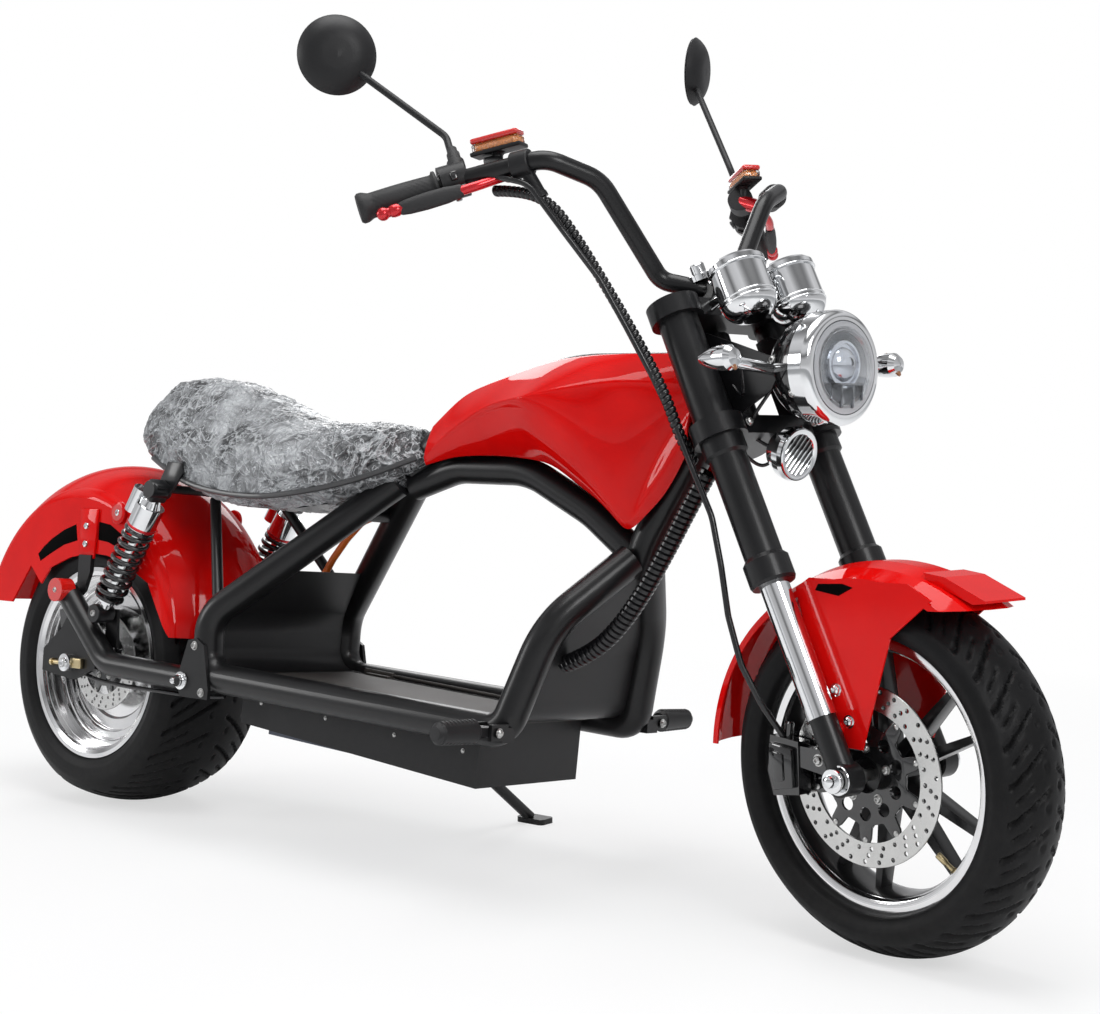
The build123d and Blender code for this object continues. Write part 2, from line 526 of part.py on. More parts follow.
# Shock absorbers: bodies with bright reservoirs, coil springs drawn as ribbed sleeves
SHOCK_Y = 153.0
SHOCK_LOW = Vector(88, SHOCK_Y, 332)
SHOCK_TOP = Vector(216, SHOCK_Y, 542)
bodies, springs = [], []
shock_length = (SHOCK_TOP - SHOCK_LOW).length
for side in (RIGHT, LEFT):
    low = Vector(SHOCK_LOW.X, side * SHOCK_Y, SHOCK_LOW.Z)
    top = Vector(SHOCK_TOP.X, side * SHOCK_Y, SHOCK_TOP.Z)
    way = (top - low).normalized()
    body = turned(low, way, [(6, 0), (6, 9), (28, 9), (28, 20), (34, 20), (34, 8), (168, 8), (168, 22), (174, 24),
                             (216, 24), (216, 18), (226, 14), (shock_length - 6, 10), (shock_length - 6, 0)])
    can_start = low + way * 184 + Vector(-30, 0, 18)
    can = rod(can_start, can_start + way * 44, 14)
    neck = rod(low + way * 200, can_start + way * 16, 9)
    eyes = [rod(low - Vector(0, 16, 0), low + Vector(0, 16, 0), 13), rod(top - Vector(0, 14, 0), top + Vector(0, 14, 0), 13)]
    bodies.append(joined([body, can, neck] + eyes, [swingarm]))
    ribs = [(35, 10), (35, 24)]
    for number in range(8):
        base = 38 + 16.0 * number
        ribs += [(base, 20), ((base + 4.5, 27), (base + 9, 20)), (base + 13, 16)]
    ribs += [(167, 16), (167, 10)]
    springs.append(turned(low, way, ribs))
keep("shock_bodies", joined(bodies), FIXED)
keep("shock_springs", joined(springs), FIXED)

# Rear mudguard: wide crown and side skirts with the wheel arch cut in them
GUARD_CENTRE = Vector(-35, 0, 275)
rear_shell = wheel_part(GUARD_CENTRE, [
    (-124, 60), (-124, 252), ((-118, 264), (-110, 270)), ((0, 316), (110, 270)), ((118, 264), (124, 252)), (124, 60),
    (120.5, 60), (120.5, 252), ((116, 260), (108, 266)), ((0, 312.5), (-108, 266)), ((-116, 260), (-120.5, 252)),
    (-120.5, 60),
])
guard_reach = side_plate([
    (226, 301), (330, 301), (330, 660), (-420, 660), (-420, 335), (-214, 335), (-164, 403), (-130, 372), (-105, 402),
    (-50, 422), (7, 432), (55, 429), (106, 416), (168, 388), (196, 345),
], 140, -140)
with BuildPart() as rear_mudguard:
    add(rear_shell)
    add(guard_reach, mode=Mode.INTERSECT)
keep("rear_mudguard", rear_mudguard.part, FIXED)
stays = []
for side in (RIGHT, LEFT):
    stays.append(joined([
        side_plate([(-20, 505), (26, 505), (22, 424), (-16, 424)], side * 126 + 2, side * 126 - 2),
        side_plate([(-14, 428), (20, 428), (20, 400), (6, 366), (-20, 346), (-36, 350), (-14, 380)], side * 128 + 4, side * 128 - 4),
    ]))
keep("mudguard_stays", joined(stays, [rear_mudguard.part, swingarm]), FIXED)
tail_lamp = side_plate([(-330, 345), (-352, 350), (-350, 385), (-340, 412), (-310, 400)], 36, -36)
guard_fill = wheel_part(GUARD_CENTRE, [
    (-124, 0), (-124, 252), ((-118, 264), (-110, 270)), ((0, 316), (110, 270)), ((118, 264), (124, 252)), (124, 0),
])
tail_lamp = joined([tail_lamp], [guard_fill])
reflectors = [rod((ARM_END[0] + 2, side * 150, ARM_END[1] + 4), (ARM_END[0] + 2, side * 178, ARM_END[1] + 4), 20)
              for side in (RIGHT, LEFT)]
reflectors += [rod((83, side * 121, 503), (83, side * 131, 503), 14) for side in (RIGHT, LEFT)]
reflectors = joined(reflectors, [swingarm, rear_mudguard.part])
keep("rear_lamps", joined([tail_lamp, reflectors]), FIXED)
rear_caliper = joined([
    side_plate([(-18, 338), (-70, 318), (-62, 286), (-26, 296)], -56, -100),
    side_plate([(-16, 340), (-50, 330), (-44, 300), (-14, 310)], -100, -138),
], [wheel_part(REAR_AXLE, [(REAR_DISC_FACE - 5.5, 0), (REAR_DISC_FACE + 9.5, 0), (REAR_DISC_FACE + 9.5, 88.5),
                           (REAR_DISC_FACE - 5.5, 88.5)]), swingarm])
keep("rear_caliper", rear_caliper, FIXED)

# Seat: long saddle on a steel pan with stays down to the loops
seat_rows = [
    # x, half width of the top, top height, middle height, half width of the skirt, skirt height
    (62, 52, 706, 716, 56, 652),
    (110, 98, 744, 742, 108, 612),
    (185, 114, 730, 722, 128, 576),
    (270, 116, 700, 690, 134, 545),
    (360, 110, 670, 664, 130, 528),
    (450, 98, 653, 652, 116, 526),
    (540, 82, 650, 654, 98, 538),
    (620, 60, 648, 654, 74, 560),
    (698, 20, 622, 630, 24, 606),
]
with BuildPart() as seat_pad:
    for x, half, top, middle, skirt, low in seat_rows:
        with BuildSketch(Plane(origin=(x, 0, 0), x_dir=(0, 1, 0), z_dir=(1, 0, 0))):
            with BuildLine():
                ThreePointArc((-half, top), (0, middle), (half, top))
                ThreePointArc((half, top), (skirt + 4, (top + low) / 2), (skirt, low))
                Line((skirt, low), (-skirt, low))
                ThreePointArc((-skirt, low), (-skirt - 4, (top + low) / 2), (-half, top))
            make_face()
    loft()
pan_outline = [(150, 594), (200, 570), (270, 545), (360, 528), (450, 526), (536, 537),
               (536, 531), (450, 520), (360, 522), (270, 539), (200, 564), (150, 588)]
seat_pan = side_plate(pan_outline, 80, -80)
seat_room = seat_pad.part
pan_brackets = []
for side in (RIGHT, LEFT):
    pan_brackets.append(rod((226, side * 60, 545), (226, side * 139, 545), 7))
    pan_brackets.append(rod((226, side * 60, 545), (244, side * 60, 556), 9))
seat_pan = joined([seat_pan] + pan_brackets, [seat_room] + bodies)
keep("seat_pad", joined([seat_pad.part], [loop_right, loop_left, frame_spine, arch_tube]), FIXED)
strut_rows = [
    # upper end, lower end at the loop
    ((270, 76, 532), (372, 144, 372)),
]
struts = []
for upper, lower in strut_rows:
    for side in (RIGHT, LEFT):
        struts.append(tube([(upper[0], side * upper[1], upper[2]), (lower[0], side * lower[1], lower[2])], [], 9))
struts.append(rod((566, -70, 518), (566, 70, 518), 10))
struts.append(rod((566, -20, 518), (566, -20, 556), 8))
struts.append(rod((566, 20, 518), (566, 20, 556), 8))
seat_struts = joined(struts, [loop_right, loop_left, seat_pan, rear_mudguard.part, seat_pad.part])
seat_pan = joined([seat_pan, seat_struts])
keep("seat_pan", seat_pan, FIXED)

# Red side covers between spine and arch, thin shells with a raised fin
COVER_THICKNESS = 4.0
cover_rows = [
    # x, then side and height of top edge, outer edge, crease and lower edge
    (700, (20, 658), (37, 612), (37, 606), (30, 597)),
    (760, (20, 705), (54, 646), (52, 638), (34, 610)),
    (850, (20, 732), (80, 679), (76, 670), (34, 612)),
    (943, (20, 753), (112, 687), (106, 677), (36, 602)),
    (1000, (20, 757), (92, 702), (88, 644), (36, 570)),
    (1044, (20, 757), (73, 709), (64, 586), (37, 544)),
    (1089, (20, 756), (64, 711), (42, 520), (34, 504)),
    (1150, (20, 755), (55, 709), (47, 630), (42, 556)),
    (1190, (20, 753), (50, 706), (48, 680), (46, 622)),
]
with BuildPart() as cover_left:
    for x, top, outer, crease, low in cover_rows:
        rim = [top, outer, crease, low]
        heart = Vector(12, (top[1] + low[1]) / 2)
        back_rim = []
        for y, z in reversed(rim):
            inward = (heart - Vector(y, z)).normalized() * COVER_THICKNESS
            back_rim.append((y + inward.X, z + inward.Y))
        with BuildSketch(Plane(origin=(x, 0, 0), x_dir=(0, 1, 0), z_dir=(1, 0, 0))):
            with BuildLine():
                Polyline(*rim, *back_rim, close=True)
            make_face()
    loft(ruled=True)
cover_tabs = [rod((900, 15, 716), (900, 60, 706), 5), rod((1110, 15, 722), (1110, 48, 712), 5)]
cover_left = joined([cover_left.part] + cover_tabs, [frame_spine, arch_tube])
keep("side_cover_left", joined([cover_left], [loop_left]), FIXED)
keep("side_cover_right", joined([mirrored(cover_left)], [loop_right]), FIXED)

# Front shield and rear kick panel: thin sheets that follow the loops
SHEET = 3.0
shield_path = [(930, 232), (982, 236), (1012, 330), (1034, 376), (1078, 448)]
kick_path = [(428, 258), (374, 262), (376, 340), (470, 430)]


def sheet_between_loops(path, bends, outline):
    """Bent sheet seen from the side, trimmed to an outline seen from the front."""
    with BuildPart() as sheet:
        with BuildSketch(Plane(origin=(0, 0, 0), x_dir=(1, 0, 0), z_dir=(0, -1, 0))):
            with BuildLine() as way:
                FilletPolyline(*path, radius=bends)
                offset(way.line, amount=SHEET, side=Side.LEFT)
            make_face()
        extrude(amount=160, both=True)
        with BuildSketch(Plane(origin=(300, 0, 0), x_dir=(0, 1, 0), z_dir=(1, 0, 0))):
            with BuildLine():
                Polyline(*outline, close=True)
            make_face()
        extrude(amount=900, mode=Mode.INTERSECT)
    return sheet.part


shield = sheet_between_loops(shield_path, [40, 60, 120], [
    (-132, 220), (132, 220), (132, 300), (116, 350), (96, 392), (30, 452), (-30, 452), (-96, 392), (-116, 350),
    (-132, 300),
])
shield = joined([shield], [loop_right, loop_left, frame_spine, arch_tube])
keep("front_shield", shield, FIXED)
kick = sheet_between_loops(kick_path, [36, 50], [
    (-132, 250), (132, 250), (132, 352), (108, 398), (96, 424), (-96, 424), (-108, 398), (-132, 352),
])
kick = joined([kick], [loop_right, loop_left])
keep("kick_panel", kick, FIXED)

# Deck: floor frame, hinged lid, battery box and battery
DECK_SLOPE = 3.05
DECK = Plane(origin=(400, 0, 259), x_dir=(cos(radians(DECK_SLOPE)), 0, -sin(radians(DECK_SLOPE))),
             z_dir=(sin(radians(DECK_SLOPE)), 0, cos(radians(DECK_SLOPE))))
LID_FROM, LID_TO = 30.0, 462.0
LID_HALF = 109.0
LID_GAP = 3.0
FLOOR_THICKNESS = 5.0
with BuildPart() as deck_floor:
    with BuildSketch(DECK.offset(-FLOOR_THICKNESS)):
        with Locations((250, 0)):
            Rectangle(530, 248)
        with Locations(((LID_FROM + LID_TO) / 2, 0)):
            Rectangle(LID_TO - LID_FROM + 2 * LID_GAP, 2 * (LID_HALF + LID_GAP), mode=Mode.SUBTRACT)
    extrude(amount=FLOOR_THICKNESS)
HINGE_Y, HINGE_Z = 118.0, 6.0
HINGE_PIN = 2.5
hinge_ends = [(LID_FROM + 20, LID_FROM + 34), (LID_TO - 34, LID_TO - 20)]
hinge_middles = [(LID_FROM + 35, LID_FROM + 85), (LID_TO - 85, LID_TO - 35)]


def on_deck(x, y, z):
    """Point in the deck's own directions."""
    return DECK.from_local_coords(Vector(x, y, z))


floor_pieces = [deck_floor.part]
for start, end in hinge_ends:
    floor_pieces.append(rod(on_deck(start, HINGE_Y, HINGE_Z), on_deck(end, HINGE_Y, HINGE_Z), 5))
    floor_pieces.append(block(DECK, (end - start, 6, 7), ((start + end) / 2, HINGE_Y + 1, 1)))
floor_pieces.append(rod(on_deck(LID_FROM + 20, HINGE_Y, HINGE_Z), on_deck(LID_TO - 20, HINGE_Y, HINGE_Z), HINGE_PIN))
deck_floor_part = joined(floor_pieces, [loop_right, loop_left, kick, shield])
keep("deck_floor", deck_floor_part, FIXED)
lid_pieces = [block(DECK, (LID_TO - LID_FROM, 2 * LID_HALF, 5), ((LID_FROM + LID_TO) / 2, 0, -0.5))]
pin_bore = rod(on_deck(LID_FROM, HINGE_Y, HINGE_Z), on_deck(LID_TO, HINGE_Y, HINGE_Z), HINGE_PIN + FIT)
for start, end in hinge_middles:
    lid_pieces.append(rod(on_deck(start, HINGE_Y, HINGE_Z), on_deck(end, HINGE_Y, HINGE_Z), 5))
    lid_pieces.append(block(DECK, (end - start, 16, 3), ((start + end) / 2, HINGE_Y - 8, HINGE_Z - 2.5)))
    lid_pieces.append(block(DECK, (end - start, 6, 5), ((start + end) / 2, LID_HALF - 4, 3)))
keep("deck_lid", joined(lid_pieces, [pin_bore]), FIXED)
BOX_WALL = 3.0
box_outline = [(14, -5), (513, -5), (513, -94), (14, -78)]
box_inside = [(14 + BOX_WALL, 20), (513 - BOX_WALL, 20), (513 - BOX_WALL, -94 + BOX_WALL), (14 + BOX_WALL, -78 + BOX_WALL)]
BOX_HALF = 114.0
with BuildPart() as battery_box:
    box_plane = Plane(origin=on_deck(0, 0, 0), x_dir=DECK.x_dir, z_dir=(0, -1, 0))
    with BuildSketch(box_plane):
        with BuildLine():
            Polyline(*box_outline, close=True)
        make_face()
    extrude(amount=BOX_HALF, both=True)
    with BuildSketch(box_plane):
        with BuildLine():
            Polyline(*box_inside, close=True)
        make_face()
    extrude(amount=BOX_HALF - BOX_WALL, both=True, mode=Mode.SUBTRACT)
box_part = joined([battery_box.part], [loop_right, loop_left, deck_floor_part, shield, kick])
keep("battery_box", box_part, FIXED)
keep("battery_pack", joined([block(DECK, (380, 190, 66), (250, 0, -57))], [box_part]), FIXED)

# Side stand on the left: lug on the loop, leg with foot on a slanted pin
STAND_PIVOT = Vector(650, 137, 152)
STAND_AXIS = Vector(0, 0.594, 0.805).normalized()
STAND_FOOT = Vector(672, 300, 35.6)
stand_lug = joined([
    rod(STAND_PIVOT + STAND_AXIS * 7, STAND_PIVOT + STAND_AXIS * 17, 17),
    rod(STAND_PIVOT + STAND_AXIS * 16, (650, 150, 226), 11),
    rod(STAND_PIVOT - STAND_AXIS * 12, STAND_PIVOT + STAND_AXIS * 12, 5),
    rod(STAND_PIVOT - STAND_AXIS * 13, STAND_PIVOT - STAND_AXIS * 7, 10),
], [loop_left, box_part])
leg_way = (STAND_FOOT - STAND_PIVOT).normalized()
foot_up = Vector(0, -sin(radians(LEAN)), cos(radians(LEAN)))
foot_plane = Plane(origin=STAND_FOOT, x_dir=(1, 0, 0), z_dir=foot_up)
side_stand = joined([
    rod(STAND_PIVOT - STAND_AXIS * 6, STAND_PIVOT + STAND_AXIS * 6, 15),
    rod(STAND_PIVOT + leg_way * 12, STAND_PIVOT + leg_way * 34, 6),
    rod(STAND_PIVOT + leg_way * 26, STAND_FOOT, 9),
    block(foot_plane, (56, 34, 9), (6, 6, -4.5), 8),
], [rod(STAND_PIVOT - STAND_AXIS * 20, STAND_PIVOT + STAND_AXIS * 20, 5 + FIT)])
keep("side_stand", side_stand, FIXED)

# Folding foot pegs on clevis brackets at the front of the loops
PEG_X, PEG_Y, PEG_Z = 985.0, 188.0, 229.0
PEG_PIN = 4.0
clevises, pegs = [], []
for side in (RIGHT, LEFT):
    clevis = joined([
        block(Plane.XY, (42, 26, 20), (PEG_X, side * 166, PEG_Z - 4)),
        block(Plane.XY, (6, 34, 22), (PEG_X - 18, side * 184, PEG_Z)),
        block(Plane.XY, (6, 34, 22), (PEG_X + 18, side * 184, PEG_Z)),
        rod((PEG_X - 24, side * PEG_Y, PEG_Z), (PEG_X + 24, side * PEG_Y, PEG_Z), PEG_PIN),
    ], [loop_right, loop_left])
    clevises.append(clevis)
    peg = joined([
        rod((PEG_X - 14, side * PEG_Y, PEG_Z), (PEG_X + 14, side * PEG_Y, PEG_Z), 7.5),
        block(Plane.XY, (28, 26, 12), (PEG_X, side * (PEG_Y + 13), PEG_Z + 1)),
        turned((PEG_X, side * (PEG_Y + 22), PEG_Z + 1), (0, side, 0), [(0, 0), (0, 12), (6, 16), (70, 14), (80, 9), (80, 0)]),
    ], [rod((PEG_X - 30, side * PEG_Y, PEG_Z), (PEG_X + 30, side * PEG_Y, PEG_Z), PEG_PIN + FIT)])
    pegs.append(peg)
keep("frame_brackets", joined(clevises + pivot_plates + [stand_lug]), FIXED)
keep("peg_right", pegs[0], FIXED)
keep("peg_left", pegs[1], FIXED)

# Looms: ribbed harness down the frame, wrapped loom down from the bar, orange cable under the seat
HARNESS_RADIUS = 12.5
harness_points = [(1224, -44, 594), (1194, -46, 540), (1166, -48, 486), (1132, -52, 424), (1096, -57, 372),
                  (1054, -60, 336), (1008, -61, 318)]
harness = tube(harness_points, [150, 200, 300, 150, 90], HARNESS_RADIUS)
keep("frame_harness", joined([harness], [frame_spine, loop_right, shield]), FIXED)
LOOM_RADIUS = 7.5
loom_points = [(1018, -244, 972), (1066, -240, 968), (1110, -222, 950), (1138, -200, 900), (1160, -176, 846),
               (1184, -154, 790), (1208, -138, 738), (1232, -130, 690), (1248, -122, 640), (1252, -98, 602)]
loom = tube(loom_points, [50, 45, 60, 60, 60, 60, 60, 50], LOOM_RADIUS)
keep("bar_loom", joined([loom], [triple_clamps, fork_uppers, front_hose]), STEERED)
orange = tube([(557, 18, 520), (514, 24, 508), (472, 34, 480), (430, 46, 446), (398, 56, 414)], [60, 60, 60], 6)
keep("orange_cable", joined([orange], [kick, seat_pan]), FIXED)


def tyre_bottom(centre, axis_z, radius, crown):
    """Height of the lowest point of a tilted tyre with a round crown."""
    return centre.Z - (radius - crown) * sqrt(1 - axis_z * axis_z) - crown


def swing(point, axis, angle):
    """Where a point goes when it turns about an axis."""
    return (point - axis.position).rotate(axis, angle) + axis.position


def placed(part, steered, pitch=0.0):
    """Turns a steering piece to its resting angle, then leans and pitches the bike."""
    if steered:
        part = part.rotate(STEERING_AXIS, STEERING_REST)
    part = part.rotate(Axis.X, -LEAN)
    return part.rotate(Axis.Y, pitch)


steered_centre = swing(FRONT_AXLE, STEERING_AXIS, STEERING_REST)
steered_side = swing(FRONT_AXLE + Vector(0, 1, 0), STEERING_AXIS, STEERING_REST)
front_centre = swing(steered_centre, Axis.X, -LEAN)
front_side = swing(steered_side, Axis.X, -LEAN)
rear_centre = swing(REAR_AXLE, Axis.X, -LEAN)
rear_drop = tyre_bottom(rear_centre, sin(radians(LEAN)), REAR_TYRE_RADIUS, REAR_CROWN_RADIUS)
front_drop = tyre_bottom(front_centre, front_side.Z - front_centre.Z, FRONT_TYRE_RADIUS, FRONT_CROWN_RADIUS)
PITCH = degrees(atan2(front_drop - rear_drop, WHEELBASE))
finished = [(label, placed(part, steered, PITCH)) for label, part, steered in nodes]
low_x = min(part.bounding_box().min.X for label, part in finished)
high_x = max(part.bounding_box().max.X for label, part in finished)
low_y = min(part.bounding_box().min.Y for label, part in finished)
high_y = max(part.bounding_box().max.Y for label, part in finished)
low_z = min(part.bounding_box().min.Z for label, part in finished)
SHIFT = (-(low_x + high_x) / 2, -(low_y + high_y) / 2, -low_z)
print("pitch", round(PITCH, 4), "shift", [round(value, 3) for value in SHIFT])
print("size", round(high_x - low_x, 1), round(high_y - low_y, 1))
os.makedirs("parts", exist_ok=True)
for label, part in finished:
    part = part.moved(Location(SHIFT))
    part.label = label
    export_step(part, f"parts/{label}.step")
    box = part.bounding_box()
    print(label, len(part.solids()), "solids", [round(value) for value in (*box.min, *box.max)])
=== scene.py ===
"""Dressed model of an electric custom motorcycle that leans on its side stand.

Pieces are shaped in the bike's own upright millimetres (X forward, Y to the rider's left, Z up,
origin on the ground under the rear axle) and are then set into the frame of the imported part.
"""
from __future__ import annotations

import logging
from contextlib import contextmanager
from dataclasses import dataclass, field
from enum import Enum
from math import atan2, cos, hypot, pi, radians, sin
from typing import Callable, Iterator, Sequence

import bmesh
import bpy
from bpy.types import Material, NodeTree, Object, ShaderNode
from mathutils import Matrix, Vector, noise


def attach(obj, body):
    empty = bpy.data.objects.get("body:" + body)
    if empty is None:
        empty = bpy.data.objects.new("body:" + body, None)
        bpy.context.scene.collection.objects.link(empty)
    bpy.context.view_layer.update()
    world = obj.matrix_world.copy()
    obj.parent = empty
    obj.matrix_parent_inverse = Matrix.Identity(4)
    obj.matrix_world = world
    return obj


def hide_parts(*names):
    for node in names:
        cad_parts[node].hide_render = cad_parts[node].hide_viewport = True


LOG = logging.getLogger("custom_motorcycle")
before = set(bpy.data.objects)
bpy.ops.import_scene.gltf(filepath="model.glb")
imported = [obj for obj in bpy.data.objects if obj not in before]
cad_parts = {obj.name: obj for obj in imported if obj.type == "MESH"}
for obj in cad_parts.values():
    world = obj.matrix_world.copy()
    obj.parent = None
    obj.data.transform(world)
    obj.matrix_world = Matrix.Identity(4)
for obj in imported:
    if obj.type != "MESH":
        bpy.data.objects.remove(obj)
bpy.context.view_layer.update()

Point = tuple[float, float, float]
Colour = tuple[float, float, float]

# Stance of the bike, in degrees and millimetres
LEAN = radians(-5.2)
PITCH = radians(0.0116)
STEERING = radians(-11.5)
RAKE = radians(26.4)
SHIFT = Vector((-684.271, -126.859, 0.923))
UP = Vector((-sin(RAKE), 0.0, cos(RAKE)))
AHEAD = Vector((cos(RAKE), 0.0, sin(RAKE)))
REAR_AXLE = Vector((0.0, 0.0, 242.6))
FRONT_AXLE = Vector((1495.0, 0.0, 228.6))
STEERING_FOOT = FRONT_AXLE - AHEAD * 36.9

FRAME_SPACE = (Matrix.Scale(0.001, 4) @ Matrix.Translation(SHIFT)
               @ Matrix.Rotation(PITCH, 4, "Y") @ Matrix.Rotation(LEAN, 4, "X"))
STEERED_SPACE = (FRAME_SPACE @ Matrix.Translation(STEERING_FOOT)
                 @ Matrix.Rotation(STEERING, 4, UP) @ Matrix.Translation(-STEERING_FOOT))
STEERED_BODIES = ("steering", "front_wheel")


def at_leg(height: float, ahead: float = 0.0, side: float = 0.0) -> Vector:
    """Point measured along the fork legs from the front axle."""
    return FRONT_AXLE + UP * height + AHEAD * ahead + Vector((0.0, side, 0.0))


def looking(origin: Sequence[float], direction: Sequence[float], roll: float = 0.0) -> Matrix:
    """Places a piece made about its own Z axis.

    Args:
        origin: where the piece's own origin goes.
        direction: where its Z axis points.
        roll: turn about that axis in radians.

    Returns:
        The matrix that moves the piece there.
    """
    aim = Vector(direction).to_track_quat("Z", "Y").to_matrix().to_4x4()
    return Matrix.Translation(Vector(origin)) @ aim @ Matrix.Rotation(roll, 4, "Z")


# ---- finishes

class Grain(Enum):
    """Kinds of fine relief that a surface can have."""

    ORANGE_PEEL = "orange_peel"
    PEBBLE = "pebble"
    BRUSHED = "brushed"
    TURNED = "turned"
    RUBBER = "rubber"
    CRINKLE = "crinkle"
    RIBS = "ribs"
    DIAMOND = "diamond"


@dataclass(frozen=True)
class Finish:
    """One surface finish: its colours, gloss and fine relief."""

    name: str
    colour: Colour
    second: Colour
    roughness: float
    spread: float = 0.08
    metallic: float = 0.0
    coat: float = 0.0
    coat_roughness: float = 0.04
    tone_scale: float = 14.0
    grain: Grain = Grain.PEBBLE
    grain_scale: float = 700.0
    relief: float = 0.15
    depth: float = 0.0006
    dust: float = 0.0
    glow: float = 0.0
    clear: float = 0.0
    shine: float = 0.5
    turn: Matrix | None = field(default=None, compare=False)


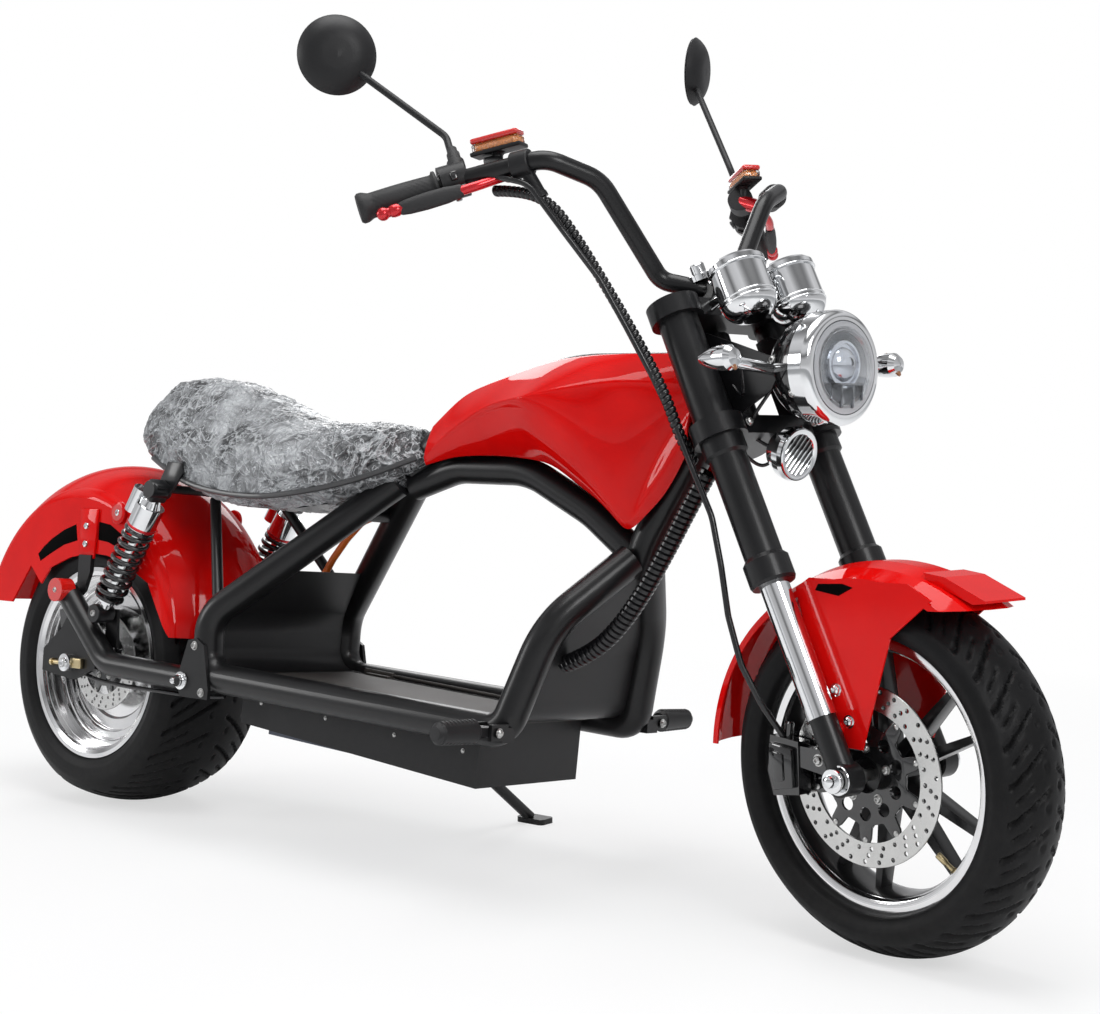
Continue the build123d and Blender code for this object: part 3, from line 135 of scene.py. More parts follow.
class EffectGroups:
    """Shader effects that several finishes share, each made once as a node group."""

    def __init__(self) -> None:
        """Starts with no groups made."""
        self.made: dict[str, NodeTree] = {}

    @staticmethod
    def _start(name: str, inputs: Sequence[tuple[str, str, object]],
               outputs: Sequence[tuple[str, str]]) -> tuple[NodeTree, ShaderNode, ShaderNode]:
        """Starts a group with named sockets.

        Args:
            name: the group's name.
            inputs: socket kind, name and default value of each input.
            outputs: socket kind and name of each output.

        Returns:
            The group with its input and output nodes.
        """
        tree = bpy.data.node_groups.new(name, "ShaderNodeTree")
        for kind, label, value in inputs:
            socket = tree.interface.new_socket(name=label, in_out="INPUT", socket_type=kind)
            if value is not None:
                socket.default_value = value
        for kind, label in outputs:
            tree.interface.new_socket(name=label, in_out="OUTPUT", socket_type=kind)
        return tree, tree.nodes.new("NodeGroupInput"), tree.nodes.new("NodeGroupOutput")

    @staticmethod
    def _math(tree: NodeTree, kind: str, first: object, second: object = 0.5, clamp: bool = False) -> object:
        """Adds a math node to a group.

        Args:
            tree: the group.
            kind: operation name.
            first: socket or number of the first input.
            second: socket or number of the second input.
            clamp: whether the result stays from 0 to 1.

        Returns:
            The node's output socket.
        """
        node = tree.nodes.new("ShaderNodeMath")
        node.operation = kind
        node.use_clamp = clamp
        for index, value in enumerate((first, second)):
            if isinstance(value, (int, float)):
                node.inputs[index].default_value = value
            else:
                tree.links.new(value, node.inputs[index])
        return node.outputs[0]

    def tone(self) -> NodeTree:
        """Returns the group that varies a colour and its roughness over the surface.

        Returns:
            The group.
        """
        if "tone" in self.made:
            return self.made["tone"]
        tree, given, result = self._start("surface_tone", [
            ("NodeSocketVector", "Vector", None), ("NodeSocketFloat", "Scale", 14.0),
            ("NodeSocketColor", "Colour", (0.5, 0.5, 0.5, 1)),
            ("NodeSocketColor", "Second Colour", (0.4, 0.4, 0.4, 1)),
            ("NodeSocketFloat", "Roughness", 0.5), ("NodeSocketFloat", "Spread", 0.1),
            ("NodeSocketColor", "Dust Colour", (0.42, 0.40, 0.36, 1)), ("NodeSocketFloat", "Dust", 0.0),
        ], [("NodeSocketColor", "Colour"), ("NodeSocketFloat", "Roughness")])
        cloud = tree.nodes.new("ShaderNodeTexNoise")
        cloud.inputs["Detail"].default_value = 6.0
        tree.links.new(given.outputs["Vector"], cloud.inputs["Vector"])
        tree.links.new(given.outputs["Scale"], cloud.inputs["Scale"])
        patch = self._math(tree, "MULTIPLY_ADD", cloud.outputs[0], 2.2, True)
        patch.node.inputs[2].default_value = -0.6
        blend = tree.nodes.new("ShaderNodeMix")
        blend.data_type = "RGBA"
        tree.links.new(patch, blend.inputs[0])
        tree.links.new(given.outputs["Colour"], blend.inputs[6])
        tree.links.new(given.outputs["Second Colour"], blend.inputs[7])
        speck = tree.nodes.new("ShaderNodeTexNoise")
        speck.inputs["Scale"].default_value = 90.0
        speck.inputs["Detail"].default_value = 8.0
        tree.links.new(given.outputs["Vector"], speck.inputs["Vector"])
        height = tree.nodes.new("ShaderNodeSeparateXYZ")
        tree.links.new(given.outputs["Vector"], height.inputs[0])
        near_ground = self._math(tree, "MULTIPLY_ADD", height.outputs[2], -1.6, True)
        near_ground.node.inputs[2].default_value = 0.9
        film = self._math(tree, "MULTIPLY", speck.outputs[0], near_ground)
        film = self._math(tree, "MULTIPLY", film, given.outputs["Dust"], True)
        dusty = tree.nodes.new("ShaderNodeMix")
        dusty.data_type = "RGBA"
        tree.links.new(film, dusty.inputs[0])
        tree.links.new(blend.outputs[2], dusty.inputs[6])
        tree.links.new(given.outputs["Dust Colour"], dusty.inputs[7])
        centred = self._math(tree, "SUBTRACT", cloud.outputs[0], 0.5)
        swing = self._math(tree, "MULTIPLY", centred, given.outputs["Spread"])
        rough = self._math(tree, "ADD", swing, given.outputs["Roughness"])
        rough = self._math(tree, "ADD", rough, film, True)
        tree.links.new(dusty.outputs[2], result.inputs["Colour"])
        tree.links.new(rough, result.inputs["Roughness"])
        self.made["tone"] = tree
        return tree

    def grain(self, kind: Grain) -> NodeTree:
        """Makes the group for one kind of fine relief.

        Args:
            kind: the relief that is wanted.

        Returns:
            A group that puts out a height.
        """
        if kind.value in self.made:
            return self.made[kind.value]
        tree, given, result = self._start("grain_" + kind.value, [
            ("NodeSocketVector", "Vector", None), ("NodeSocketFloat", "Scale", 500.0),
        ], [("NodeSocketFloat", "Height"), ("NodeSocketFloat", "Lines")])
        if kind in (Grain.PEBBLE, Grain.RUBBER):
            cells = tree.nodes.new("ShaderNodeTexVoronoi")
            cells.feature = "SMOOTH_F1"
            tree.links.new(given.outputs["Vector"], cells.inputs["Vector"])
            tree.links.new(given.outputs["Scale"], cells.inputs["Scale"])
            height = cells.outputs["Distance"]
            if kind is Grain.RUBBER:
                mottle = tree.nodes.new("ShaderNodeTexNoise")
                mottle.inputs["Scale"].default_value = 130.0
                mottle.inputs["Detail"].default_value = 7.0
                tree.links.new(given.outputs["Vector"], mottle.inputs["Vector"])
                height = self._math(tree, "ADD", height, mottle.outputs[0])
        elif kind is Grain.CRINKLE:
            height = self._crinkle(tree, given, result)
        elif kind in (Grain.RIBS, Grain.DIAMOND, Grain.TURNED):
            height = self._waves(tree, given, kind)
        else:
            fine = tree.nodes.new("ShaderNodeTexNoise")
            fine.inputs["Detail"].default_value = 3.0
            source = given.outputs["Vector"]
            if kind is Grain.BRUSHED:
                stretch = tree.nodes.new("ShaderNodeMapping")
                stretch.inputs["Scale"].default_value = (0.04, 1.0, 1.0)
                tree.links.new(source, stretch.inputs["Vector"])
                source = stretch.outputs[0]
            tree.links.new(source, fine.inputs["Vector"])
            tree.links.new(given.outputs["Scale"], fine.inputs["Scale"])
            height = fine.outputs[0]
        tree.links.new(height, result.inputs["Height"])
        self.made[kind.value] = tree
        return tree

    def _crinkle(self, tree: NodeTree, given: ShaderNode, result: ShaderNode) -> object:
        """Adds sharp folds of thin wrapping film, puts out their fine lines as the mask of painted fold
        highlights and returns their height socket.

        Args:
            tree: node tree to add to.
            given: group's input node.
            result: group's output node.

        Returns:
            The height socket.
        """
        total, lines = None, None
        for share, stretch, weight in ((1.0, (1.0, 0.45, 1.0), 1.0), (1.9, (0.45, 1.0, 0.7), 0.6),
                                       (4.2, (1.0, 0.6, 0.8), 0.3)):
            bend = tree.nodes.new("ShaderNodeMapping")
            bend.inputs["Scale"].default_value = stretch
            bend.inputs["Rotation"].default_value = (0.3 * share, 0.2, 0.7 * share)
            tree.links.new(given.outputs["Vector"], bend.inputs["Vector"])
            warp = tree.nodes.new("ShaderNodeTexNoise")
            warp.inputs["Detail"].default_value = 4.0
            warp.inputs["Distortion"].default_value = 1.4
            tree.links.new(bend.outputs[0], warp.inputs["Vector"])
            tree.links.new(self._math(tree, "MULTIPLY", given.outputs["Scale"], share), warp.inputs["Scale"])
            off = self._math(tree, "SUBTRACT", warp.outputs[0], 0.5)
            fold = self._math(tree, "ABSOLUTE", off)
            ridge = self._math(tree, "MULTIPLY_ADD", fold, -4.5 * weight)
            ridge.node.inputs[2].default_value = weight
            total = ridge if total is None else self._math(tree, "ADD", total, ridge)
            thin = self._math(tree, "MULTIPLY_ADD", fold, -22.0, True)
            thin.node.inputs[2].default_value = 0.85
            lines = thin if lines is None else self._math(tree, "MAXIMUM", lines, thin)
        tree.links.new(lines, result.inputs["Lines"])
        return total

    def _waves(self, tree: NodeTree, given: ShaderNode, kind: Grain) -> object:
        """Adds regular waves for ribs, knurling or turning marks and returns their height socket.

        Args:
            tree: node tree to add to.
            given: group's input node.
            kind: which kind.

        Returns:
            The height socket.
        """
        turns = {Grain.RIBS: (0.0,), Grain.DIAMOND: (0.6, -0.6), Grain.TURNED: (0.0,)}[kind]
        total = None
        for turn in turns:
            lay = tree.nodes.new("ShaderNodeMapping")
            lay.inputs["Rotation"].default_value = (0.0, 0.0, turn)
            tree.links.new(given.outputs["Vector"], lay.inputs["Vector"])
            wave = tree.nodes.new("ShaderNodeTexWave")
            wave.wave_type = "RINGS" if kind is Grain.TURNED else "BANDS"
            if kind is Grain.TURNED:
                wave.rings_direction = "Z"
            else:
                wave.bands_direction = "X"
            tree.links.new(lay.outputs[0], wave.inputs["Vector"])
            tree.links.new(given.outputs["Scale"], wave.inputs["Scale"])
            total = wave.outputs[1] if total is None else self._math(tree, "MINIMUM", total, wave.outputs[1])
        return total


class Paintshop:
    """Makes each finish into a material once and lays it on pieces."""

    def __init__(self) -> None:
        """Starts with the shared effects and no materials."""
        self.effects = EffectGroups()
        self.made: dict[str, Material] = {}

    def material(self, finish: Finish) -> Material:
        """Returns the material of a finish, made the first time it is asked for.

        Args:
            finish: surface finish.

        Returns:
            The material.
        """
        if finish.name in self.made:
            return self.made[finish.name]
        made = bpy.data.materials.new(finish.name)
        made.use_nodes = True
        tree = made.node_tree
        shader = tree.nodes["Principled BSDF"]
        where = tree.nodes.new("ShaderNodeTexCoord").outputs["Object"]
        local = where
        if finish.turn is not None:
            lay = tree.nodes.new("ShaderNodeMapping")
            lay.vector_type = "TEXTURE"
            lay.inputs["Location"].default_value = finish.turn.to_translation()
            lay.inputs["Rotation"].default_value = finish.turn.to_euler()
            tree.links.new(where, lay.inputs["Vector"])
            local = lay.outputs[0]
        tone = tree.nodes.new("ShaderNodeGroup")
        tone.node_tree = self.effects.tone()
        tree.links.new(where, tone.inputs["Vector"])
        for label, value in (("Scale", finish.tone_scale), ("Colour", (*finish.colour, 1.0)),
                             ("Second Colour", (*finish.second, 1.0)), ("Roughness", finish.roughness),
                             ("Spread", finish.spread), ("Dust", finish.dust)):
            tone.inputs[label].default_value = value
        if finish.grain is not Grain.CRINKLE:
            tree.links.new(tone.outputs["Colour"], shader.inputs["Base Color"])
        tree.links.new(tone.outputs["Roughness"], shader.inputs["Roughness"])
        grain = tree.nodes.new("ShaderNodeGroup")
        grain.node_tree = self.effects.grain(finish.grain)
        grain.inputs["Scale"].default_value = finish.grain_scale
        tree.links.new(local, grain.inputs["Vector"])
        bump = tree.nodes.new("ShaderNodeBump")
        bump.inputs["Strength"].default_value = finish.relief
        bump.inputs["Distance"].default_value = finish.depth
        tree.links.new(grain.outputs["Height"], bump.inputs["Height"])
        tree.links.new(bump.outputs[0], shader.inputs["Normal"])
        # crinkled film: painted highlights on its folds and patches are mixed into the base colour by glint
        if finish.grain is Grain.CRINKLE:
            self.glint(tree, grain, tone, shader)
        shader.inputs["Metallic"].default_value = finish.metallic
        shader.inputs["Specular IOR Level"].default_value = finish.shine
        shader.inputs["Coat Weight"].default_value = finish.coat
        shader.inputs["Coat Roughness"].default_value = finish.coat_roughness
        shader.inputs["Transmission Weight"].default_value = finish.clear
        if finish.glow:
            shader.inputs["Emission Color"].default_value = (*finish.colour, 1.0)
            shader.inputs["Emission Strength"].default_value = finish.glow
        self.made[finish.name] = made
        return made

    @staticmethod
    def glint(tree: NodeTree, grain: ShaderNode, tone: ShaderNode, shader: ShaderNode) -> None:
        """Paints highlights into the base colour of a clear film over its dark ground: pale grey on the fold
        lines and in cloudy patches, less towards the nose of the saddle.

        Args:
            tree: node tree to add to.
            grain: node of the fine relief.
            tone: node of the varied colour.
            shader: shader that takes the values.
        """
        ground = tree.nodes.new("ShaderNodeTexNoise")
        ground.inputs["Scale"].default_value = 15.0
        ground.inputs["Detail"].default_value = 5.0
        ground.inputs["Distortion"].default_value = 0.8
        where = grain.inputs["Vector"].links[0].from_socket
        tree.links.new(where, ground.inputs["Vector"])
        cloud = tree.nodes.new("ShaderNodeMapRange")
        for label, value in (("From Min", 0.36), ("From Max", 0.64), ("To Min", 0.04), ("To Max", 0.80)):
            cloud.inputs[label].default_value = value
        tree.links.new(ground.outputs[0], cloud.inputs["Value"])
        split = tree.nodes.new("ShaderNodeSeparateXYZ")
        tree.links.new(where, split.inputs[0])
        nose = tree.nodes.new("ShaderNodeMapRange")
        for label, value in (("From Min", -0.22), ("From Max", -0.05), ("To Min", 1.0), ("To Max", 0.18)):
            nose.inputs[label].default_value = value
        tree.links.new(split.outputs[0], nose.inputs["Value"])
        # painted sheen: pale cloudy patches of the film, faded towards the saddle's nose
        painted_sheen = tree.nodes.new("ShaderNodeMath")
        painted_sheen.operation = "MULTIPLY"
        tree.links.new(cloud.outputs[0], painted_sheen.inputs[0])
        tree.links.new(nose.outputs[0], painted_sheen.inputs[1])
        # painted highlight mask: the brighter of the sheen patches and the fold lines
        bright = tree.nodes.new("ShaderNodeMath")
        bright.operation = "MAXIMUM"
        tree.links.new(painted_sheen.outputs[0], bright.inputs[0])
        tree.links.new(grain.outputs["Lines"], bright.inputs[1])
        # base colour mixed towards pale grey by that mask, a painted highlight of the film
        film = tree.nodes.new("ShaderNodeMix")
        film.data_type = "RGBA"
        film.inputs[7].default_value = (0.62, 0.64, 0.66, 1.0)
        tree.links.new(bright.outputs[0], film.inputs[0])
        tree.links.new(tone.outputs["Colour"], film.inputs[6])
        tree.links.new(film.outputs[2], shader.inputs["Base Color"])

    def dress(self, piece: Object, finish: Finish) -> Object:
        """Gives a piece one finish all over and returns the piece.

        Args:
            piece: piece to work on.
            finish: surface finish.

        Returns:
            The piece.
        """
        piece.data.materials.clear()
        piece.data.materials.append(self.material(finish))
        return piece


WHEEL_TURN_REAR = FRAME_SPACE @ looking(REAR_AXLE, (0, 1, 0))
WHEEL_TURN_FRONT = STEERED_SPACE @ looking(FRONT_AXLE, (0, 1, 0))


def unscaled(matrix: Matrix) -> Matrix:
    """Keeps a matrix's place and turn and drops its scale."""
    return Matrix.Translation(matrix.to_translation()) @ matrix.to_quaternion().to_matrix().to_4x4()


RED_PAINT = Finish("gloss_red_paint", (0.72, 0.004, 0.003), (0.62, 0.003, 0.003), 0.24, 0.05, coat=0.45,
                   coat_roughness=0.04, grain=Grain.ORANGE_PEEL, grain_scale=260.0, relief=0.035,
                   depth=0.0004, dust=0.01, shine=0.0)
FRAME_BLACK = Finish("satin_black_frame_paint", (0.004, 0.004, 0.0045), (0.007, 0.007, 0.008), 0.34, 0.12,
                     coat=0.12, coat_roughness=0.14, grain_scale=900.0, relief=0.10, dust=0.02, shine=0.3)
CAST_BLACK = Finish("black_cast_wheel", (0.006, 0.006, 0.007), (0.010, 0.010, 0.011), 0.30, 0.12, coat=0.35,
                    coat_roughness=0.15, grain_scale=700.0, relief=0.12, dust=0.02, shine=0.25)
SHEET_BLACK = Finish("black_sheet_paint", (0.008, 0.008, 0.009), (0.012, 0.012, 0.013), 0.40, 0.10, coat=0.15,
                     coat_roughness=0.25, grain_scale=850.0, relief=0.2, dust=0.02, shine=0.2)
TYRE_RUBBER = Finish("tyre_rubber", (0.005, 0.005, 0.0055), (0.009, 0.009, 0.010), 0.44, 0.16,
                     grain=Grain.RUBBER, grain_scale=900.0, relief=0.2, depth=0.0007, dust=0.03, shine=0.12)
CHROME = Finish("bright_chrome", (0.80, 0.81, 0.82), (0.74, 0.75, 0.76), 0.07, 0.05, metallic=1.0,
                grain=Grain.ORANGE_PEEL, grain_scale=180.0, relief=0.02)
STEEL = Finish("zinc_steel", (0.56, 0.56, 0.55), (0.44, 0.44, 0.43), 0.30, 0.14, metallic=1.0,
               grain=Grain.BRUSHED, grain_scale=1400.0, relief=0.12)
BRASS_STEEL = Finish("yellow_passivated_steel", (0.62, 0.50, 0.28), (0.48, 0.40, 0.24), 0.32, 0.15,
                     metallic=1.0, grain=Grain.BRUSHED, grain_scale=1200.0, relief=0.12)
DISC_STEEL_FRONT = Finish("front_disc_steel", (0.66, 0.66, 0.65), (0.55, 0.55, 0.54), 0.26, 0.10,
                          metallic=1.0, grain=Grain.TURNED, grain_scale=260.0, relief=0.18, depth=0.0003,
                          turn=unscaled(WHEEL_TURN_FRONT))
DISC_STEEL_REAR = Finish("rear_disc_steel", (0.66, 0.66, 0.65), (0.55, 0.55, 0.54), 0.26, 0.10, metallic=1.0,
                         grain=Grain.TURNED, grain_scale=260.0, relief=0.18, depth=0.0003,
                         turn=unscaled(WHEEL_TURN_REAR))
RIM_POLISH_REAR = Finish("polished_rear_rim", (0.78, 0.78, 0.78), (0.66, 0.66, 0.67), 0.14, 0.10,
                         metallic=1.0, grain=Grain.TURNED, grain_scale=170.0, relief=0.10, depth=0.0003,
                         turn=unscaled(WHEEL_TURN_REAR))
RIM_POLISH_FRONT = Finish("polished_front_lip", (0.80, 0.80, 0.80), (0.70, 0.70, 0.71), 0.12, 0.08,
                          metallic=1.0, grain=Grain.TURNED, grain_scale=170.0, relief=0.08, depth=0.0003,
                          turn=unscaled(WHEEL_TURN_FRONT))
PLASTIC_BLACK = Finish("moulded_black_plastic", (0.009, 0.009, 0.010), (0.014, 0.014, 0.015), 0.44, 0.10,
                       grain_scale=1300.0, relief=0.22, depth=0.0004, dust=0.02, shine=0.3)
GLOSS_BLACK = Finish("gloss_black_enamel", (0.005, 0.005, 0.006), (0.009, 0.009, 0.009), 0.14, 0.05, coat=0.9,
                     grain=Grain.ORANGE_PEEL, grain_scale=240.0, relief=0.03)
GRIP_RUBBER = Finish("grip_rubber", (0.010, 0.010, 0.011), (0.016, 0.016, 0.017), 0.62, 0.10,
                     grain=Grain.PEBBLE, grain_scale=1500.0, relief=0.25, depth=0.0004)
DECK_MAT = Finish("dark_deck_mat", (0.026, 0.022, 0.021), (0.036, 0.031, 0.029), 0.56, 0.12,
                  grain=Grain.RUBBER, grain_scale=1100.0, relief=0.35, depth=0.0006, dust=0.25)
# Saddle film: dark vinyl tone; the pale grey on its folds and patches is painted highlight, mixed in by glint
SEAT_FILM = Finish("film_wrapped_vinyl", (0.060, 0.062, 0.065), (0.022, 0.022, 0.024), 0.22, 0.14,
                   metallic=0.1, tone_scale=20.0, grain=Grain.CRINKLE, grain_scale=11.5, relief=1.0,
                   depth=0.012)
SEAT_PIPING = Finish("seat_piping_vinyl", (0.03, 0.03, 0.032), (0.05, 0.05, 0.052), 0.4, 0.1, coat=0.3)
RED_ANODISED = Finish("red_anodised_alloy", (0.62, 0.010, 0.018), (0.54, 0.008, 0.014), 0.24, 0.08,
                      metallic=0.55, coat=0.5, grain=Grain.BRUSHED, grain_scale=900.0, relief=0.06)
LAMP_RED = Finish("red_lamp_lens", (0.70, 0.015, 0.010), (0.55, 0.010, 0.008), 0.12, 0.04, coat=1.0,
                  grain=Grain.RIBS, grain_scale=90.0, relief=0.35, depth=0.0008)
LAMP_AMBER = Finish("amber_lamp_lens", (0.85, 0.30, 0.06), (0.75, 0.24, 0.05), 0.12, 0.04, coat=0.6,
                    grain=Grain.RIBS, grain_scale=90.0, relief=0.35, depth=0.0008)
LAMP_GLASS = Finish("clear_lamp_glass", (0.96, 0.97, 0.98), (0.94, 0.95, 0.96), 0.02, 0.0, clear=1.0,
                    grain=Grain.ORANGE_PEEL, grain_scale=60.0, relief=0.01)
CABLE_BLACK = Finish("black_cable_sheath", (0.005, 0.005, 0.006), (0.009, 0.009, 0.010), 0.24, 0.08,
                     grain_scale=1400.0, relief=0.15)
# Painted shade: near-black matte plates laid where the slots in the mudguards look dark
SLOT_SHADE_BLACK = Finish("deep_shadow_black", (0.0015, 0.0015, 0.0015), (0.0025, 0.0025, 0.0025), 0.7, 0.05,
                    relief=0.02, shine=0.02)
SIGNAL_AMBER = Finish("smoked_amber_lens", (0.30, 0.11, 0.03), (0.22, 0.08, 0.02), 0.10, 0.04, coat=1.0,
                      grain=Grain.RIBS, grain_scale=90.0, relief=0.2, depth=0.0006)
CABLE_ORANGE = Finish("orange_cable_sheath", (0.80, 0.17, 0.02), (0.70, 0.14, 0.02), 0.40, 0.10,
                      grain_scale=1200.0, relief=0.12)
SPRING_BLACK = Finish("black_spring_coat", (0.007, 0.007, 0.008), (0.012, 0.012, 0.013), 0.24, 0.08, coat=0.6,
                      grain_scale=800.0, relief=0.06)
MIRROR_GLASS = Finish("mirror_glass", (0.88, 0.89, 0.90), (0.86, 0.87, 0.88), 0.02, 0.01, metallic=1.0,
                      grain=Grain.ORANGE_PEEL, grain_scale=40.0, relief=0.004)
DIAL_FACE = Finish("dial_face", (0.03, 0.03, 0.035), (0.04, 0.04, 0.045), 0.35, 0.05, coat=0.6,
                   grain_scale=900.0, relief=0.05)
PALE_MARKS = Finish("pale_dial_marks", (0.75, 0.76, 0.76), (0.70, 0.70, 0.70), 0.4, 0.05, relief=0.02)
BATTERY_CASE = Finish("battery_case_plastic", (0.05, 0.06, 0.09), (0.06, 0.07, 0.10), 0.45, 0.1, relief=0.1)


# ---- modelling bench

class Bench:
    """Starts, shapes and finishes pieces with Blender's own modelling tools."""

    def __init__(self, paint: Paintshop) -> None:
        """Keeps the paintshop that finishes the pieces."""
        self.paint = paint

    @staticmethod
    def clear() -> None:
        """Deselects everything."""
        if bpy.context.object is not None and bpy.context.object.mode != "OBJECT":
            bpy.ops.object.mode_set(mode="OBJECT")
        bpy.ops.object.select_all(action="DESELECT")

    @classmethod
    def pick(cls, *pieces: Object) -> None:
        """Selects the given pieces alone and makes the first of them active."""
        cls.clear()
        for piece in pieces:
            piece.select_set(True)
        bpy.context.view_layer.objects.active = pieces[0]

    @classmethod
    @contextmanager
    def editing(cls, piece: Object, select: bool = True) -> Iterator[None]:
        """Opens a piece in edit mode, all selected or none, and closes it afterwards.

        Args:
            piece: piece to work on.
            select: whether all of it starts selected.

        Returns:
            Nothing while the piece is open.
        """
        cls.pick(piece)
        bpy.ops.object.mode_set(mode="EDIT")
        bpy.ops.mesh.select_all(action="SELECT" if select else "DESELECT")
        yield
        bpy.ops.object.mode_set(mode="OBJECT")

    @staticmethod
    def choose_faces(piece: Object, wanted: Callable[[Vector, Vector], bool]) -> None:
        """Selects the faces whose middle and normal pass a test, in edit mode.

        Args:
            piece: piece to work on.
            wanted: test of a face's middle and normal.
        """
        bpy.ops.mesh.select_mode(type="FACE")
        mesh = bmesh.from_edit_mesh(piece.data)
        for face in mesh.faces:
            face.select_set(wanted(face.calc_center_median(), face.normal))
        bmesh.update_edit_mesh(piece.data)

    @classmethod
    def modify(cls, piece: Object, kind: str, **values: object) -> None:
        """Adds a modifier with the given settings and applies it.

        Args:
            piece: piece to work on.
            kind: which kind.
        """
        change = piece.modifiers.new(kind.lower(), kind)
        for label, value in values.items():
            setattr(change, label, value)
        cls.pick(piece)
        bpy.ops.object.modifier_apply(modifier=change.name)

    @classmethod
    def turned(cls, name: str, outline: Sequence[tuple[float, float]], steps: int = 64) -> Object:
        """Spins an outline of (radius, height) points about the piece's own Z axis.

        Args:
            name: name of the new piece.
            outline: the points, closed on the axis or back on the first point.
            steps: divisions round the axis.

        Returns:
            The closed piece.
        """
        cls.clear()
        bpy.ops.mesh.primitive_plane_add(size=0.01, location=(0.0, 0.0, 0.0))
        piece = bpy.context.object
        piece.name = name
        with cls.editing(piece):
            bpy.ops.mesh.select_mode(type="VERT")
            bpy.ops.mesh.merge(type="CENTER")
            here = outline[0]
            bpy.ops.transform.translate(value=(here[0], 0.0, here[1]))
            for point in outline[1:]:
                step = (point[0] - here[0], 0.0, point[1] - here[1])
                bpy.ops.mesh.extrude_region_move(TRANSFORM_OT_translate={"value": step})
                here = point
            bpy.ops.mesh.select_all(action="SELECT")
            bpy.ops.mesh.spin(steps=steps, angle=2.0 * pi, center=(0.0, 0.0, 0.0), axis=(0.0, 0.0, 1.0))
            bpy.ops.mesh.select_all(action="SELECT")
            bpy.ops.mesh.remove_doubles(threshold=0.004)
            bpy.ops.mesh.normals_make_consistent(inside=False)
        return piece

    @classmethod
    def prism(cls, name: str, outline: Sequence[tuple[float, float]], depth: float,
              bevel: float = 0.0) -> Object:
        """Raises a flat outline in X and Y to a plate of the given depth along Z.

        Args:
            name: name of the new piece.
            outline: corners in order.
            depth: thickness, from Z = 0 upwards.
            bevel: width of the rounding on its edges.

        Returns:
            The plate.
        """
        cls.clear()
        bpy.ops.mesh.primitive_circle_add(vertices=len(outline), radius=1.0, fill_type="NGON")
        piece = bpy.context.object
        piece.name = name
        for corner, place in zip(piece.data.vertices, outline):
            corner.co = Vector((place[0], place[1], 0.0))
        with cls.editing(piece):
            bpy.ops.mesh.extrude_region_move(TRANSFORM_OT_translate={"value": (0.0, 0.0, depth)})
            bpy.ops.mesh.select_all(action="SELECT")
            bpy.ops.mesh.normals_make_consistent(inside=False)
        if bevel:
            cls.modify(piece, "BEVEL", width=bevel, segments=2, limit_method="ANGLE", angle_limit=radians(30))
        return piece

    @classmethod
    def block(cls, name: str, size: Sequence[float], bevel: float, segments: int = 3) -> Object:
        """Cube primitive brought to a size about the origin, with rounded edges.

        Args:
            name: name of the piece.
            size: lengths along X, Y and Z.
            bevel: width of the rounded edges.
            segments: steps of the rounding.

        Returns:
            The block.
        """
        cls.clear()
        bpy.ops.mesh.primitive_cube_add(size=1.0, location=(0.0, 0.0, 0.0))
        piece = bpy.context.object
        piece.name = name
        with cls.editing(piece):
            bpy.ops.transform.resize(value=tuple(size))
            bpy.ops.mesh.bevel(offset=bevel, segments=segments, affect="EDGES")
        return piece

    @classmethod
    def path(cls, name: str, points: Sequence[Sequence[float]], closed: bool = False) -> Object:
        """Smooth curve through the neighbourhood of its points, with no thickness.

        Args:
            name: name of the piece.
            points: places along the curve.
            closed: whether the ends meet.

        Returns:
            The curve.
        """
        curve = bpy.data.curves.new(name, "CURVE")
        curve.dimensions = "3D"
        curve.resolution_u = 12
        spline = curve.splines.new("NURBS")
        spline.points.add(len(points) - 1)
        for place, point in zip(spline.points, points):
            place.co = (*point, 1.0)
        spline.use_cyclic_u = closed
        spline.use_endpoint_u = not closed
        spline.order_u = 3
        piece = bpy.data.objects.new(name, curve)
        bpy.context.scene.collection.objects.link(piece)
        return piece

    @classmethod
    def wire(cls, name: str, points: Sequence[Sequence[float]], radius: float, closed: bool = False,
             sides: int = 3) -> Object:
        """Round wire or tube along a smooth curve, as a mesh.

        Args:
            name: name of the piece.
            points: places along the curve.
            radius: radius in millimetres.
            closed: whether the ends meet.
            sides: sides of the cross section.

        Returns:
            The wire.
        """
        piece = cls.path(name, points, closed)
        piece.data.bevel_depth = radius
        piece.data.bevel_resolution = sides
        piece.data.use_fill_caps = not closed
        cls.pick(piece)
        bpy.ops.object.convert(target="MESH")
        return bpy.context.object

    @classmethod
    def copies(cls, name: str, master: Object, places: Sequence[Matrix]) -> Object:
        """Sets a copy of the master at each place and joins them.

        Args:
            name: name of the joined piece.
            master: the piece that is copied; it is removed afterwards.
            places: where each copy goes.

        Returns:
            One piece with all the copies.
        """
        made = []
        for place in places:
            twin = master.copy()
            twin.data = master.data.copy()
            bpy.context.scene.collection.objects.link(twin)
            twin.data.transform(place @ master.matrix_world)
            twin.matrix_world = Matrix.Identity(4)
            made.append(twin)
        bpy.data.objects.remove(master)
        cls.pick(*made)
        if len(made) > 1:
            bpy.ops.object.join()
        made[0].name = name
        return made[0]

    @classmethod
    def join(cls, name: str, pieces: Sequence[Object]) -> Object:
        """Makes several meshes one piece and names it.

        Args:
            name: name of the piece.
            pieces: meshes to join.

        Returns:
            The joined piece.
        """
        for piece in pieces:
            piece.data.transform(piece.matrix_world)
            piece.matrix_world = Matrix.Identity(4)
        cls.pick(*pieces)
        bpy.ops.object.join()
        pieces[0].name = name
        return pieces[0]

